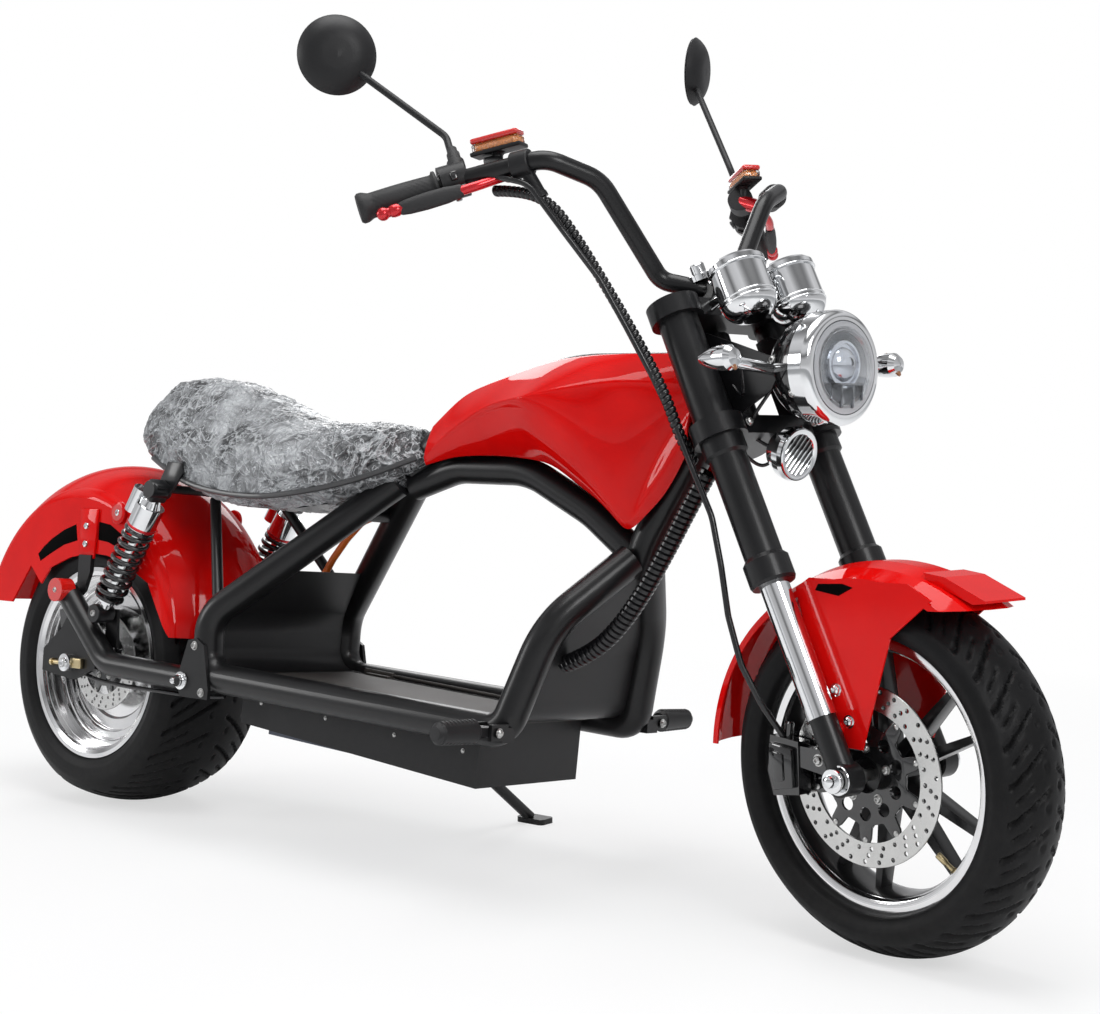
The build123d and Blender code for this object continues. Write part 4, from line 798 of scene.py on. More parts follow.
    @classmethod
    def cut(cls, piece: Object, tool: Object) -> Object:
        """Takes the tool's shape out of the piece and removes the tool.

        Args:
            piece: piece to work on.
            tool: mesh that is taken away.

        Returns:
            The piece that is left.
        """
        cls.modify(piece, "BOOLEAN", operation="DIFFERENCE", solver="EXACT", object=tool)
        bpy.data.objects.remove(tool)
        return piece

    @classmethod
    def along(cls, piece: Object, guide: Object) -> Object:
        """Bends a straight piece, made along its Z axis, to follow a curve.

        Args:
            piece: piece to work on.
            guide: curve to follow.

        Returns:
            The bent piece.
        """
        cls.modify(piece, "CURVE", object=guide, deform_axis="POS_Z")
        bpy.data.objects.remove(guide)
        return piece

    @staticmethod
    def place(piece: Object, matrix: Matrix) -> Object:
        """Moves a piece's mesh by a matrix.

        Args:
            piece: piece to work on.
            matrix: move to make.

        Returns:
            The piece.
        """
        piece.data.transform(matrix @ piece.matrix_world)
        piece.matrix_world = Matrix.Identity(4)
        return piece

    def finish(self, piece: Object, name: str, finish: Finish, body: str, slot: str,
               replaces: Sequence[str] = (), angle: float = 35.0, in_frame: bool = False) -> Object:
        """Sets a piece into the part's frame, smooths it, paints it and lets it ride on its body.

        Args:
            piece: the shaped mesh, in upright millimetres unless in_frame says otherwise.
            name: its name.
            finish: its surface finish.
            body: the body that it moves with.
            slot: not used.
            replaces: nodes that it stands for.
            angle: edges flatter than this are smoothed.
            in_frame: whether the piece is already in metres in the part's frame.

        Returns:
            The finished piece.
        """
        piece.name = name
        if not in_frame:
            piece.matrix_world = (STEERED_SPACE if body in STEERED_BODIES else FRAME_SPACE) @ piece.matrix_world
        self.pick(piece)
        bpy.ops.object.transform_apply(location=True, rotation=True, scale=True)
        bpy.ops.object.shade_smooth_by_angle(angle=radians(angle))
        self.paint.dress(piece, finish)
        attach(piece, body)
        if replaces:
            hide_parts(*replaces)
        LOG.info("piece %s: %d faces", name, len(piece.data.polygons))
        return piece

    def gather(self, name: str, pieces: Sequence[Object], finish: Finish, body: str, slot: str,
               replaces: Sequence[str] = (), angle: float = 35.0) -> Object:
        """Joins meshes under a name and finishes them as one piece."""
        return self.finish(self.join(name, pieces), name, finish, body, slot, replaces, angle)


# ---- wheels

def arc_points(start: Sequence[float], middle: Sequence[float], end: Sequence[float],
               count: int) -> list[tuple[float, float]]:
    """Points on the arc through three flat points.

    Args:
        start: first point.
        middle: any point of the arc between them.
        end: last point.
        count: number of steps.

    Returns:
        count points after the start, the last of them the end.
    """
    (ax, ay), (bx, by), (cx, cy) = start, middle, end
    scale = 2.0 * (ax * (by - cy) + bx * (cy - ay) + cx * (ay - by))
    a_square, b_square, c_square = ax * ax + ay * ay, bx * bx + by * by, cx * cx + cy * cy
    ux = (a_square * (by - cy) + b_square * (cy - ay) + c_square * (ay - by)) / scale
    uy = (a_square * (cx - bx) + b_square * (ax - cx) + c_square * (bx - ax)) / scale
    radius = hypot(ax - ux, ay - uy)
    first, mid, last = (atan2(y - uy, x - ux) for x, y in (start, middle, end))
    turn = (last - first) % (2.0 * pi)
    if not 0.0 < (mid - first) % (2.0 * pi) < turn:
        turn -= 2.0 * pi
    return [(ux + radius * cos(first + turn * step / count), uy + radius * sin(first + turn * step / count))
            for step in range(1, count + 1)]


def ease(low: float, high: float, value: float) -> float:
    """Smooth step from 0 at low to 1 at high."""
    share = min(max((value - low) / (high - low), 0.0), 1.0)
    return share * share * (3.0 - 2.0 * share)


@dataclass
class Tyre:
    """Fat tyre with curved side grooves, centre pits and sidewall ridges."""

    node: str
    body: str
    axle: Vector
    bead: tuple[float, float]
    seat: tuple[float, float]
    bulge: tuple[float, float]
    shoulder: tuple[float, float]
    crown: float
    steps: int
    grooves: int
    groove_width: float
    sweep: float
    depth: float

    def outline(self) -> list[tuple[float, float]]:
        """Returns the closed cross section as (radius, distance to the left).

        Returns:
            The closed section.
        """
        def side(sign: float) -> list[tuple[float, float]]:
            """Half of the sidewall, from the bead to the shoulder.

            Args:
                sign: -1 or 1, for the side.

            Returns:
                Points from bead to shoulder.
            """
            walk = [(self.bead[1], self.bead[0] * sign), (self.seat[1], self.bead[0] * sign)]
            foot = (self.seat[1] + 1.5, self.seat[0] * sign)
            arc = arc_points(foot, (self.bulge[1], self.bulge[0] * sign),
                             (self.shoulder[1], self.shoulder[0] * sign), 16)
            ridged = []
            for index, (radius, offset) in enumerate(arc[:-1]):
                lift = 0.9 if index in (3, 4, 9) else 0.0
                ridged.append((radius, offset + lift * sign))
            return walk + [foot] + ridged + [arc[-1]]

        right, left = side(-1.0), side(1.0)
        across = int(self.shoulder[0] * 2 / 2.7)
        top = arc_points(right[-1], (self.crown, 0.0), left[-1], across)
        return right + top[:-1] + list(reversed(left)) + [right[0]]

    def groove(self, angle: float, offset: float, radius: float) -> float:
        """Says how deep the tread is cut at a place, from 0 to 1.

        Args:
            angle: turn about the axle.
            offset: distance from the tyre's middle.
            radius: radius in millimetres.

        Returns:
            The share of the full depth.
        """
        side = 1.0 if offset >= 0 else -1.0
        out = abs(offset) / self.shoulder[0]
        pitch = 2.0 * pi / self.grooves
        start = 0.25 * side * pitch
        line = start + self.sweep * pitch * (out ** 1.4)
        gap = ((angle - line + pitch / 2) % pitch) - pitch / 2
        lean = 1.0 / hypot(1.0, self.sweep * pitch * radius / self.shoulder[0])
        width = self.groove_width * (0.55 + 0.6 * min(out, 1.0))
        cut = 1.0 - ease(width * 0.5 - 0.7, width * 0.5 + 0.9, abs(gap) * radius * lean)
        cut *= ease(0.10, 0.16, out) * (1.0 - ease(1.0, 1.05, out))
        second = ((angle - line) % pitch) - pitch / 2
        short = 1.0 - ease(width * 0.32 - 0.5, width * 0.32 + 0.8, abs(second) * radius * lean)
        short *= ease(0.52, 0.57, out) * (1.0 - ease(0.92, 0.97, out))
        pit_gap = ((angle - start) % pitch) - pitch / 2
        pit = 1.0 - ease(4.2, 5.6, abs(pit_gap) * radius)
        pit *= 1.0 - ease(2.0, 3.2, abs(abs(offset) - self.shoulder[0] * 0.22))
        return max(cut, short * 0.8, pit * 0.7)

    def build(self, bench: Bench) -> Object:
        """Spins the section, cuts the tread and sets the tyre on its rim.

        Args:
            bench: workbench that shapes and finishes pieces.

        Returns:
            The finished piece.
        """
        tyre = bench.turned(self.node + "_tread", self.outline(), self.steps)
        tread = tyre.vertex_groups.new(name="tread")
        for corner in tyre.data.vertices:
            radius = hypot(corner.co.x, corner.co.y)
            if radius < self.shoulder[1] - 2.0:
                continue
            cut = self.groove(atan2(corner.co.y, corner.co.x), corner.co.z, radius)
            if cut > 0.01:
                tread.add([corner.index], cut, "REPLACE")
        bench.modify(tyre, "DISPLACE", vertex_group="tread", strength=-self.depth, mid_level=0.0,
                     direction="NORMAL")
        bench.place(tyre, looking(self.axle, (0, 1, 0)))
        return bench.finish(tyre, self.node + "_tread", TYRE_RUBBER, self.body, "tyre_rubber",
                            (self.node,), angle=42.0)


@dataclass
class BrakeDisc:
    """Drilled brake disc on a dark carrier with rivets."""

    node: str
    body: str
    axle: Vector
    face: float
    thickness: float
    outer: float
    inner: float
    hub: float
    arms: int
    steel: Finish
    spacer: float = 0.0

    def build(self, bench: Bench) -> None:
        """Makes the ring, its holes, the carrier and the rivets.

        Args:
            bench: workbench that shapes and finishes pieces.
        """
        half = self.thickness * 0.86
        ring = bench.turned(self.node + "_ring", [
            (self.inner, 0), (self.outer - 0.6, 0), (self.outer, 0.6), (self.outer, half - 0.6),
            (self.outer - 0.6, half),
            (self.inner, half), (self.inner, 0)], 120)
        bench.clear()
        bpy.ops.mesh.primitive_cylinder_add(vertices=14, radius=(self.outer - self.inner) * 0.10, depth=20.0)
        drill = bpy.context.object
        spots = []
        groups = self.arms * 3
        for index in range(groups):
            for row in range(3):
                angle = 2 * pi * (index / groups) + row * 0.055
                radius = self.inner + (self.outer - self.inner) * (0.24 + 0.27 * row)
                if index % 3 != 2 or row != 1:
                    spots.append(Matrix.Translation((radius * cos(angle), radius * sin(angle), half / 2)))
        bench.cut(ring, bench.copies("drills", drill, spots))
        place = looking(self.axle + Vector((0, self.face, 0)), (0, 1, 0))
        bench.place(ring, place)
        bench.finish(ring, self.node + "_ring", self.steel, self.body, "disc_steel", (self.node,), 30.0)
        star = []
        count = self.arms * 12
        for index in range(count):
            phase = (index % 12) / 12.0
            reach = ease(0.22, 0.40, phase) * (1.0 - ease(0.60, 0.78, phase))
            radius = self.inner * 0.74 + (self.inner * 1.04 - self.inner * 0.74) * reach
            star.append((radius * cos(2 * pi * index / count), radius * sin(2 * pi * index / count)))
        carrier = bench.prism(self.node + "_carrier", star, self.thickness * 0.9, 0.5)
        bench.clear()
        bpy.ops.mesh.primitive_cylinder_add(vertices=48, radius=self.hub, depth=40.0)
        cutter = bpy.context.object
        slots = []
        bpy.ops.mesh.primitive_cylinder_add(vertices=20, radius=self.inner * 0.105, depth=40.0)
        slot = bpy.context.object
        for index in range(self.arms):
            angle = 2 * pi * (index + 0.5) / self.arms
            slots.append(Matrix.Translation((self.inner * 0.58 * cos(angle), self.inner * 0.58 * sin(angle),
                                             0)))
        bench.cut(carrier, bench.join("openings", [cutter, bench.copies("slots", slot, slots)]))
        bench.place(carrier, Matrix.Translation((0, 0, 0.25)))
        bench.place(carrier, place)
        bench.finish(carrier, self.node + "_carrier", GLOSS_BLACK, self.body, "disc_steel", (self.node,),
                     30.0)
        rivet = bench.turned("rivet", [(0, 5.4), (2.6, 5.2), (3.6, 4.4), (3.6, -1.0), (0, -1.0)], 16)
        spots = []
        for index in range(self.arms):
            angle = 2 * pi * (index + 0.5) / self.arms
            turn = Matrix.Rotation(pi, 4, "X") @ Matrix.Translation((0, 0, -self.thickness))
            spots.append(Matrix.Translation((self.inner * 0.965 * cos(angle),
                                             self.inner * 0.965 * sin(angle), 0)) @ turn)
        rivets = bench.copies(self.node + "_rivets", rivet, spots)
        bench.place(rivets, place)
        bench.finish(rivets, self.node + "_rivets", STEEL, self.body, "zinc_steel")
        if self.spacer:
            tube = bench.turned(self.node + "_spacer", [
                (self.hub, 0.5), (self.hub + 7, 0.5), (self.hub + 7, self.spacer), (self.hub, self.spacer),
                (self.hub, 0.5)], 48)
            bench.place(tube, place)
            bench.finish(tube, self.node + "_spacer", CAST_BLACK, self.body, "black_cast", (self.node,))


@dataclass
class FrontRim:
    """Black cast rim with five split spokes, bright lips and a valve."""

    spokes: int = 5
    reach: float = 151.5

    def build(self, bench: Bench) -> None:
        """Makes barrel, hub, spokes, lips and valve.

        Args:
            bench: workbench that shapes and finishes pieces.
        """
        barrel = bench.turned("barrel", [
            (168, -38.5), (168, -36), (158, -36), (154, -28), (154, 28), (158, 36), (168, 36), (168, 38.5),
            (160, 38.5),
            (155, 36.5), (152, 31), (149.5, 24), (147.5, 10), (147.5, -10), (149.5, -24), (152, -31),
            (155, -36.5),
            (160, -38.5), (168, -38.5)], 128)
        hub = bench.turned("hub", [
            (7.55, -42), (24, -42), (26, -40), (26, -34), (30, -30), (32, -12), (32, 12), (30, 30), (26, 34),
            (26, 40),
            (24, 42), (7.55, 42), (7.55, -42)], 64)
        parts = [barrel, hub]
        for number in range(self.spokes):
            for spread in (-1, 1):
                parts.append(self.spoke(bench, number, spread))
            middle = 2 * pi * number / self.spokes + pi / 2
            web = bench.prism("web", [(26, -9), (52, -13), (56, 0), (52, 13), (26, 9)], 16.0, 2.0)
            bench.place(web, Matrix.Rotation(middle, 4, "Z") @ Matrix.Translation((0, 0, -8)))
            parts.append(web)
        rim = bench.join("front_rim_cast", parts)
        bench.place(rim, looking(FRONT_AXLE, (0, 1, 0), radians(-90)))
        bench.finish(rim, "front_rim_cast", CAST_BLACK, "front_wheel", "black_cast", ("front_rim",), 28.0)
        lips = []
        for sign in (-1, 1):
            lips.append(bench.turned("lip", [
                (168.6, 36.4 * sign), (168.9, 38.9 * sign), (166, 39.6 * sign), (161, 39.3 * sign),
                (156.0, 37.4 * sign),
                (153.2, 33.0 * sign), (152.4, 29.6 * sign), (151.8, 29.8 * sign), (152.4, 33.6 * sign),
                (155.2, 38.0 * sign), (160.8, 40.0 * sign), (166.4, 40.3 * sign), (169.6, 39.3 * sign),
                (169.4, 36.4 * sign), (168.6, 36.4 * sign)], 160))
        lip = bench.join("front_rim_lips", lips)
        bench.place(lip, looking(FRONT_AXLE, (0, 1, 0)))
        bench.finish(lip, "front_rim_lips", RIM_POLISH_FRONT, "front_wheel", "black_cast", ("front_rim",))
        valve = bench.turned("valve", [(0, 0), (5.5, 0), (5.5, 2), (3.4, 4), (3.0, 14), (4.2, 16), (4.2, 27),
                                       (3.2, 29), (0, 29)], 20)
        angle = radians(-46)
        rest = FRONT_AXLE + Vector((cos(angle) * 148, -14, sin(angle) * 148))
        bench.place(valve, looking(rest, (-cos(angle), -0.35, -sin(angle))))
        bench.finish(valve, "front_valve", BRASS_STEEL, "front_wheel", "zinc_steel")

    def spoke(self, bench: Bench, number: int, spread: int) -> Object:
        """Makes one arm of a split spoke, tapered and chamfered, about the wheel's own axis.

        Args:
            bench: workbench that shapes and finishes pieces.
            number: which spoke.
            spread: which of its two arms.

        Returns:
            The arm.
        """
        middle = 2 * pi * number / self.spokes + pi / 2
        start = Vector((27 * cos(radians(15) * spread), 27 * sin(radians(15) * spread), 0))
        end = Vector((self.reach * cos(radians(12.4) * spread), self.reach * sin(radians(12.4) * spread), 0))
        arm = bench.block("arm", (1.0, 1.0, 1.0), 0.001, 1)
        length = (end - start).length
        with bench.editing(arm, select=False):
            bench.choose_faces(arm, lambda spot, normal: abs(normal.x) > -1)
            bpy.ops.transform.resize(value=(length, 13.0, 26.0))
            bench.choose_faces(arm, lambda spot, normal: spot.x > length * 0.49)
            bpy.ops.transform.resize(value=(1.0, 0.62, 0.86))
            bench.choose_faces(arm, lambda spot, normal: spot.x < -length * 0.49)
            bpy.ops.transform.resize(value=(1.0, 1.35, 1.1))
        bench.modify(arm, "BEVEL", width=2.6, segments=2, limit_method="ANGLE", angle_limit=radians(40))
        way = (end - start).normalized()
        turn = Matrix.Rotation(atan2(way.y, way.x), 4, "Z")
        bench.place(arm, Matrix.Rotation(middle, 4, "Z") @ Matrix.Translation((start + end) / 2) @ turn)
        return arm


@dataclass
class Bolts:
    """Button-head bolts with a hexagon socket, laid out in rows on one body."""

    name: str
    body: str
    finish: Finish
    slot: str
    radius: float
    height: float
    places: list[tuple[Point, Point]]
    socket: float = 0.42

    def build(self, bench: Bench) -> Object:
        """Makes one bolt, sinks its socket and sets the copies.

        Args:
            bench: workbench that shapes and finishes pieces.

        Returns:
            The finished piece.
        """
        r, h = self.radius, self.height
        bolt = bench.turned("bolt", [(0, h), (r * 0.55, h), (r * 0.86, h * 0.72), (r, h * 0.3), (r, 0.0),
                                     (r * 1.28, 0.0),
                                     (r * 1.28, -h * 0.22), (0, -h * 0.22)], 24)
        bench.clear()
        bpy.ops.mesh.primitive_cylinder_add(vertices=6, radius=r * self.socket, depth=h, location=(0, 0, h))
        bench.cut(bolt, bpy.context.object)
        spots = [looking(origin, direction, 0.4 * index) for index,
                 (origin, direction) in enumerate(self.places)]
        row = bench.copies(self.name, bolt, spots)
        return bench.finish(row, self.name, self.finish, self.body, self.slot, angle=30.0)


# ---- lamps, saddle, springs and looms

@dataclass
class Headlight:
    """Inside of the headlight and its glass."""

    centre: Vector = field(default_factory=lambda: Vector((1414.0, 0.0, 727.0)))

    def build(self, bench: Bench) -> None:
        """Makes reflector, projector, bars, collar and glass.

        Args:
            bench: workbench that shapes and finishes pieces.
        """
        ahead = looking(self.centre, (1, 0, 0))
        cup = bench.turned("reflector", [(0, -2), (20, -2), (26, 0), (40, 1.5), (56, 3.0), (59.5, 3.5),
                                         (59.5, -3.0), (0, -3.0)], 72)
        bench.place(cup, ahead)
        bench.finish(cup, "headlight_reflector", LAMP_SILVER, "steering", "lamp_glass", ("headlight_lens",))
        eye = bench.turned("projector", [(0, 11.5), (8, 10.6), (15, 8.0), (20, 4.2), (22, 0.5), (27, 0.5),
                                         (27, 3.0),
                                         (30, 3.0), (30, -1), (0, -1)], 48)
        bench.place(eye, ahead @ Matrix.Translation((0, 4, 1)))
        bench.finish(eye, "headlight_projector", LAMP_EYE, "steering", "lamp_glass", ("headlight_lens",))
        bars = []
        for size, spot in (((2.6, 62.0, 9.0), (-21.0, 0.0, 5.5)), ((30.0, 2.4, 9.0), (-36.0, 11.0, 5.0)),
                           ((30.0, 2.4, 9.0), (-36.0, -11.0, 5.0)), ((20.0, 2.4, 9.0), (-31.0, 29.0, 5.0)),
                           ((20.0, 2.4, 9.0), (-31.0, -29.0, 5.0))):
            bar = bench.block("bar", size, 0.6, 1)
            bench.place(bar, Matrix.Translation(spot))
            bars.append(bar)
        grille = bench.join("headlight_bars", bars)
        bench.place(grille, ahead @ Matrix.Rotation(radians(90), 4, "Z"))
        bench.finish(grille, "headlight_bars", LAMP_SILVER, "steering", "lamp_glass", ("headlight_lens",))
        collar = bench.turned("collar", [(44, 0.5), (47, 5.0), (53, 6.2), (58.5, 4.6), (58.5, 2.0),
                                         (44, -0.5)], 72)
        bench.place(collar, ahead)
        bench.finish(collar, "headlight_collar", LAMP_RING, "steering", "lamp_glass", ("headlight_lens",))
        glass = bench.turned("glass", [(0, 14), (34, 11), (52, 6), (60, 2.5), (60, 1.2), (51, 4.4),
                                       (33, 9.4), (0, 12.4)], 72)
        bench.place(glass, ahead)
        bench.finish(glass, "headlight_glass", LAMP_GLASS, "steering", "lamp_glass", ("headlight_lens",),
                     60.0)


LAMP_SILVER = Finish("lamp_reflector_metal", (0.30, 0.31, 0.33), (0.20, 0.21, 0.22), 0.18, 0.08, metallic=1.0,
                     grain=Grain.ORANGE_PEEL, grain_scale=120.0, relief=0.05)
LAMP_RING = Finish("pale_lamp_collar", (0.52, 0.53, 0.55), (0.42, 0.43, 0.45), 0.24, 0.06, metallic=0.35,
                   coat=0.6, grain=Grain.ORANGE_PEEL, grain_scale=120.0, relief=0.04)
LAMP_EYE = Finish("projector_glass", (0.62, 0.65, 0.70), (0.45, 0.48, 0.54), 0.06, 0.03, metallic=0.75,
                  coat=1.0, grain=Grain.ORANGE_PEEL, grain_scale=60.0, relief=0.02)


@dataclass
class Saddle:
    """Long saddle wrapped in crinkled clear film, padded and simulated."""

    voxel: float = 0.0065
    swell: float = 0.006
    frames: int = 16
    drawn: tuple[tuple[float, ...], ...] = (
        (62, 52, 706, 716, 56, 652), (110, 98, 744, 742, 108, 612), (185, 114, 730, 722, 128, 576),
        (270, 116, 700, 690, 134, 545), (360, 110, 670, 664, 130, 528), (450, 98, 653, 652, 116, 526),
        (540, 82, 650, 654, 98, 538), (620, 60, 648, 654, 74, 560), (698, 20, 622, 630, 24, 606))
    worn: tuple[tuple[float, ...], ...] = (
        (62, 38, 692, 722, 56, 646), (110, 68, 694, 741, 98, 606), (185, 96, 664, 741, 122, 574),
        (270, 114, 636, 728, 134, 546), (360, 122, 614, 696, 138, 530), (450, 122, 611, 662, 132, 528),
        (540, 98, 630, 655, 114, 540), (620, 62, 644, 657, 80, 564), (698, 20, 618, 632, 24, 606))

    def build(self, bench: Bench) -> None:
        """Takes the saddle's solid, pads it, crinkles it and adds the piping.

        Args:
            bench: workbench that shapes and finishes pieces.
        """
        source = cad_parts["seat_pad"]
        pad = source.copy()
        pad.data = source.data.copy()
        pad.parent = None
        bpy.context.scene.collection.objects.link(pad)
        for key in list(pad.keys()):
            del pad[key]
        pad.name = "saddle_pad"
        with bench.editing(pad):
            bpy.ops.mesh.remove_doubles(threshold=0.00002)
        bench.modify(pad, "REMESH", mode="VOXEL", voxel_size=self.voxel)
        for corner in pad.data.vertices:
            corner.co = FRAME_SPACE @ self.reshaped(FRAME_SPACE.inverted() @ corner.co)
        bench.modify(pad, "SMOOTH", factor=0.6, iterations=9)
        start = [corner.co.copy() for corner in pad.data.vertices]
        self.pad_out(bench, pad, start)
        bench.modify(pad, "SUBSURF", levels=1, render_levels=1)
        self.crinkle(bench, pad)
        self.piping(bench)
        bench.finish(pad, "saddle_pad", SEAT_FILM, "frame", "seat_vinyl", ("seat_pad",), 80.0, in_frame=True)

    @staticmethod
    def section(rows: tuple[tuple[float, ...], ...], x: float) -> list[float]:
        """Interpolates the sizes of a cross section at a place along the saddle."""
        for first, second in zip(rows, rows[1:]):
            if x <= second[0] or second is rows[-1]:
                share = min(max((x - first[0]) / (second[0] - first[0]), 0.0), 1.0)
                return [a + (b - a) * share for a, b in zip(first[1:], second[1:])]
        return list(rows[-1][1:])

    def reshaped(self, spot: Vector) -> Vector:
        """Moves a point of the plain saddle solid to the domed, rounded section of the stuffed one.

        Args:
            spot: the point on the upright bike, in millimetres.

        Returns:
            The point's new place.
        """
        half, top, middle, skirt, low = self.section(self.drawn, spot.x)
        new_half, new_top, new_middle, new_skirt, new_low = self.section(self.worn, spot.x)
        across = min(abs(spot.y) / half, 1.0)
        roof = middle + (top - middle) * across ** 2
        new_roof = new_middle + (new_top - new_middle) * across ** 2.1
        share = min(max((spot.z - low) / (roof - low), 0.0), 1.08)
        wide = new_skirt / skirt + (new_half / half - new_skirt / skirt) * min(share, 1.0) ** 2
        return Vector((spot.x, spot.y * wide, new_low + (new_roof - new_low) * share))

    def pad_out(self, bench: Bench, pad: Object, start: list[Vector]) -> None:
        """Lets cloth under pressure round the saddle, and keeps each point near where it began.

        Args:
            bench: workbench that shapes and finishes pieces.
            pad: the saddle's mesh.
            start: where it starts.
        """
        cloth = pad.modifiers.new("cloth", "CLOTH")
        cloth.settings.use_pressure = True
        cloth.settings.uniform_pressure_force = 4.0
        cloth.settings.effector_weights.gravity = 0.0
        cloth.settings.quality = 5
        scene = bpy.context.scene
        for number in range(1, self.frames + 1):
            scene.frame_set(number)
        bench.pick(pad)
        bpy.ops.object.modifier_apply(modifier=cloth.name)
        scene.frame_set(1)
        for corner, home in zip(pad.data.vertices, start):
            move = corner.co - home
            if move.length > self.swell:
                corner.co = home + move.normalized() * self.swell

    def piping(self, bench: Bench) -> None:
        """Lays the dark welt round the saddle's lower edge.

        Args:
            bench: workbench that shapes and finishes pieces.
        """
        cords = []
        for side in (-1, 1):
            line = [(x, side * (sizes[3] + 3.0), sizes[4] + 9.0)
                    for x in (150, 210, 270, 330, 390, 450, 510, 560, 610, 650, 684)
                    for sizes in (self.section(self.worn, x),)]
            cords.append(bench.wire("welt", line, 4.6))
        bench.gather("saddle_welt", cords, SEAT_PIPING, "frame", "seat_vinyl", ("seat_pad",))

    def crinkle(self, bench: Bench, pad: Object) -> None:
        """Raises folds of film over the saddle, tighter near its lower edge.

        Args:
            bench: workbench that shapes and finishes pieces.
            pad: the saddle's mesh.
        """
        folds = pad.vertex_groups.new(name="folds")
        for corner in pad.data.vertices:
            spot = corner.co
            long_fold = noise.noise(Vector((spot.x * 12.0, spot.y * 26.0, spot.z * 24.0)))
            cross = noise.noise(Vector((spot.x * 42.0 + 5.0, spot.y * 20.0, spot.z * 34.0)))
            small = noise.noise(Vector((spot.x * 80.0, spot.y * 80.0, spot.z * 70.0 + 3.0)))
            ridges = [max(0.0, 1.0 - abs(value) * 3.0) ** 1.6 for value in (long_fold, cross, small)]
            height = ridges[0] * 0.5 + ridges[1] * 0.42 + ridges[2] * 0.26
            folds.add([corner.index], min(max(height, 0.0), 1.0), "REPLACE")
        bench.modify(pad, "DISPLACE", vertex_group="folds", strength=0.0062, mid_level=0.3,
                     direction="NORMAL")


@dataclass
class Shocks:
    """Black coil springs round the two shock absorbers, with bright reservoirs' rings."""

    low: Vector = field(default_factory=lambda: Vector((88.0, 153.0, 332.0)))
    top: Vector = field(default_factory=lambda: Vector((216.0, 153.0, 542.0)))
    turns: int = 8
    pitch: float = 15.4

    def build(self, bench: Bench) -> None:
        """Winds both springs and makes the rings.

        Args:
            bench: workbench that shapes and finishes pieces.
        """
        springs, rings, collars = [], [], []
        for side in (-1, 1):
            low = Vector((self.low.x, side * self.low.y, self.low.z))
            top = Vector((self.top.x, side * self.top.y, self.top.z))
            way = (top - low).normalized()
            bench.clear()
            bpy.ops.mesh.primitive_circle_add(vertices=12, radius=4.1, location=(22.6, 0, 0),
                                              rotation=(pi / 2, 0, 0))
            wire = bpy.context.object
            bench.pick(wire)
            bpy.ops.object.transform_apply(location=True, rotation=True, scale=True)
            bench.modify(wire, "SCREW", axis="Z", angle=2 * pi, screw_offset=self.pitch,
                         iterations=self.turns,
                         steps=30, render_steps=30, use_merge_vertices=True)
            with bench.editing(wire, select=False):
                bpy.ops.mesh.select_mode(type="EDGE")
                bpy.ops.mesh.select_non_manifold(extend=False)
                bpy.ops.mesh.edge_face_add()
                bpy.ops.mesh.select_all(action="SELECT")
                bpy.ops.mesh.normals_make_consistent(inside=False)
            bench.place(wire, looking(low + way * 40.0, way))
            springs.append(wire)
            for height, radius, store in ((36.0, 25.0, collars), (167.0, 25.5, collars),
                                          (176.0, 25.2, rings)):
                ring = bench.turned("ring", [(9, -2.5), (radius - 1, -2.5), (radius, -1.5), (radius, 1.5),
                                             (radius - 1, 2.5),
                                             (9, 2.5), (9, -2.5)], 40)
                bench.place(ring, looking(low + way * height, way))
                store.append(ring)
        bench.gather("shock_coils", springs, SPRING_BLACK, "frame", "spring_black", ("shock_springs",), 50.0)
        bench.gather("shock_collars", collars, SPRING_BLACK, "frame", "spring_black", ("shock_springs",))
        bench.gather("shock_rings", rings, RED_ANODISED, "frame", "red_anodised")


@dataclass
class Wrapped:
    """Cable bundle in a spiral wrap that follows a route."""

    name: str
    node: str
    body: str
    points: list[Point]
    radius: float
    pitch: float
    rib: float

    def build(self, bench: Bench) -> None:
        """Winds the wrap straight and bends it along the route.

        Args:
            bench: workbench that shapes and finishes pieces.
        """
        guide = bench.path(self.name + "_route", self.points)
        plain = bpy.data.meshes.new_from_object(guide)
        length = sum((plain.vertices[a].co - plain.vertices[b].co).length for a,
                     b in (edge.vertices for edge in plain.edges))
        bench.clear()
        bpy.ops.mesh.primitive_plane_add(size=0.01)
        tube = bpy.context.object
        with bench.editing(tube):
            bpy.ops.mesh.select_mode(type="VERT")
            bpy.ops.mesh.merge(type="CENTER")
            here = (self.radius - self.rib, 0.0)
            bpy.ops.transform.translate(value=(here[0], 0.0, here[1]))
            for out, share in ((0.0, 0.22), (0.12, 0.5), (0.0, 0.80), (-self.rib, 1.0)):
                point = (self.radius + out, self.pitch * share)
                step = (point[0] - here[0], 0.0, point[1] - here[1])
                bpy.ops.mesh.extrude_region_move(TRANSFORM_OT_translate={"value": step})
                here = point
        turns = max(2, int(length / self.pitch) - 1)
        bench.modify(tube, "SCREW", axis="Z", angle=2 * pi, screw_offset=self.pitch, iterations=turns,
                     steps=18,
                     render_steps=18, use_merge_vertices=True, merge_threshold=0.05)
        with bench.editing(tube):
            bpy.ops.mesh.remove_doubles(threshold=0.05)
            bpy.ops.mesh.normals_make_consistent(inside=False)
        bench.along(tube, guide)
        bench.finish(tube, self.name, CABLE_BLACK, self.body, "cable_black", (self.node,), 50.0)


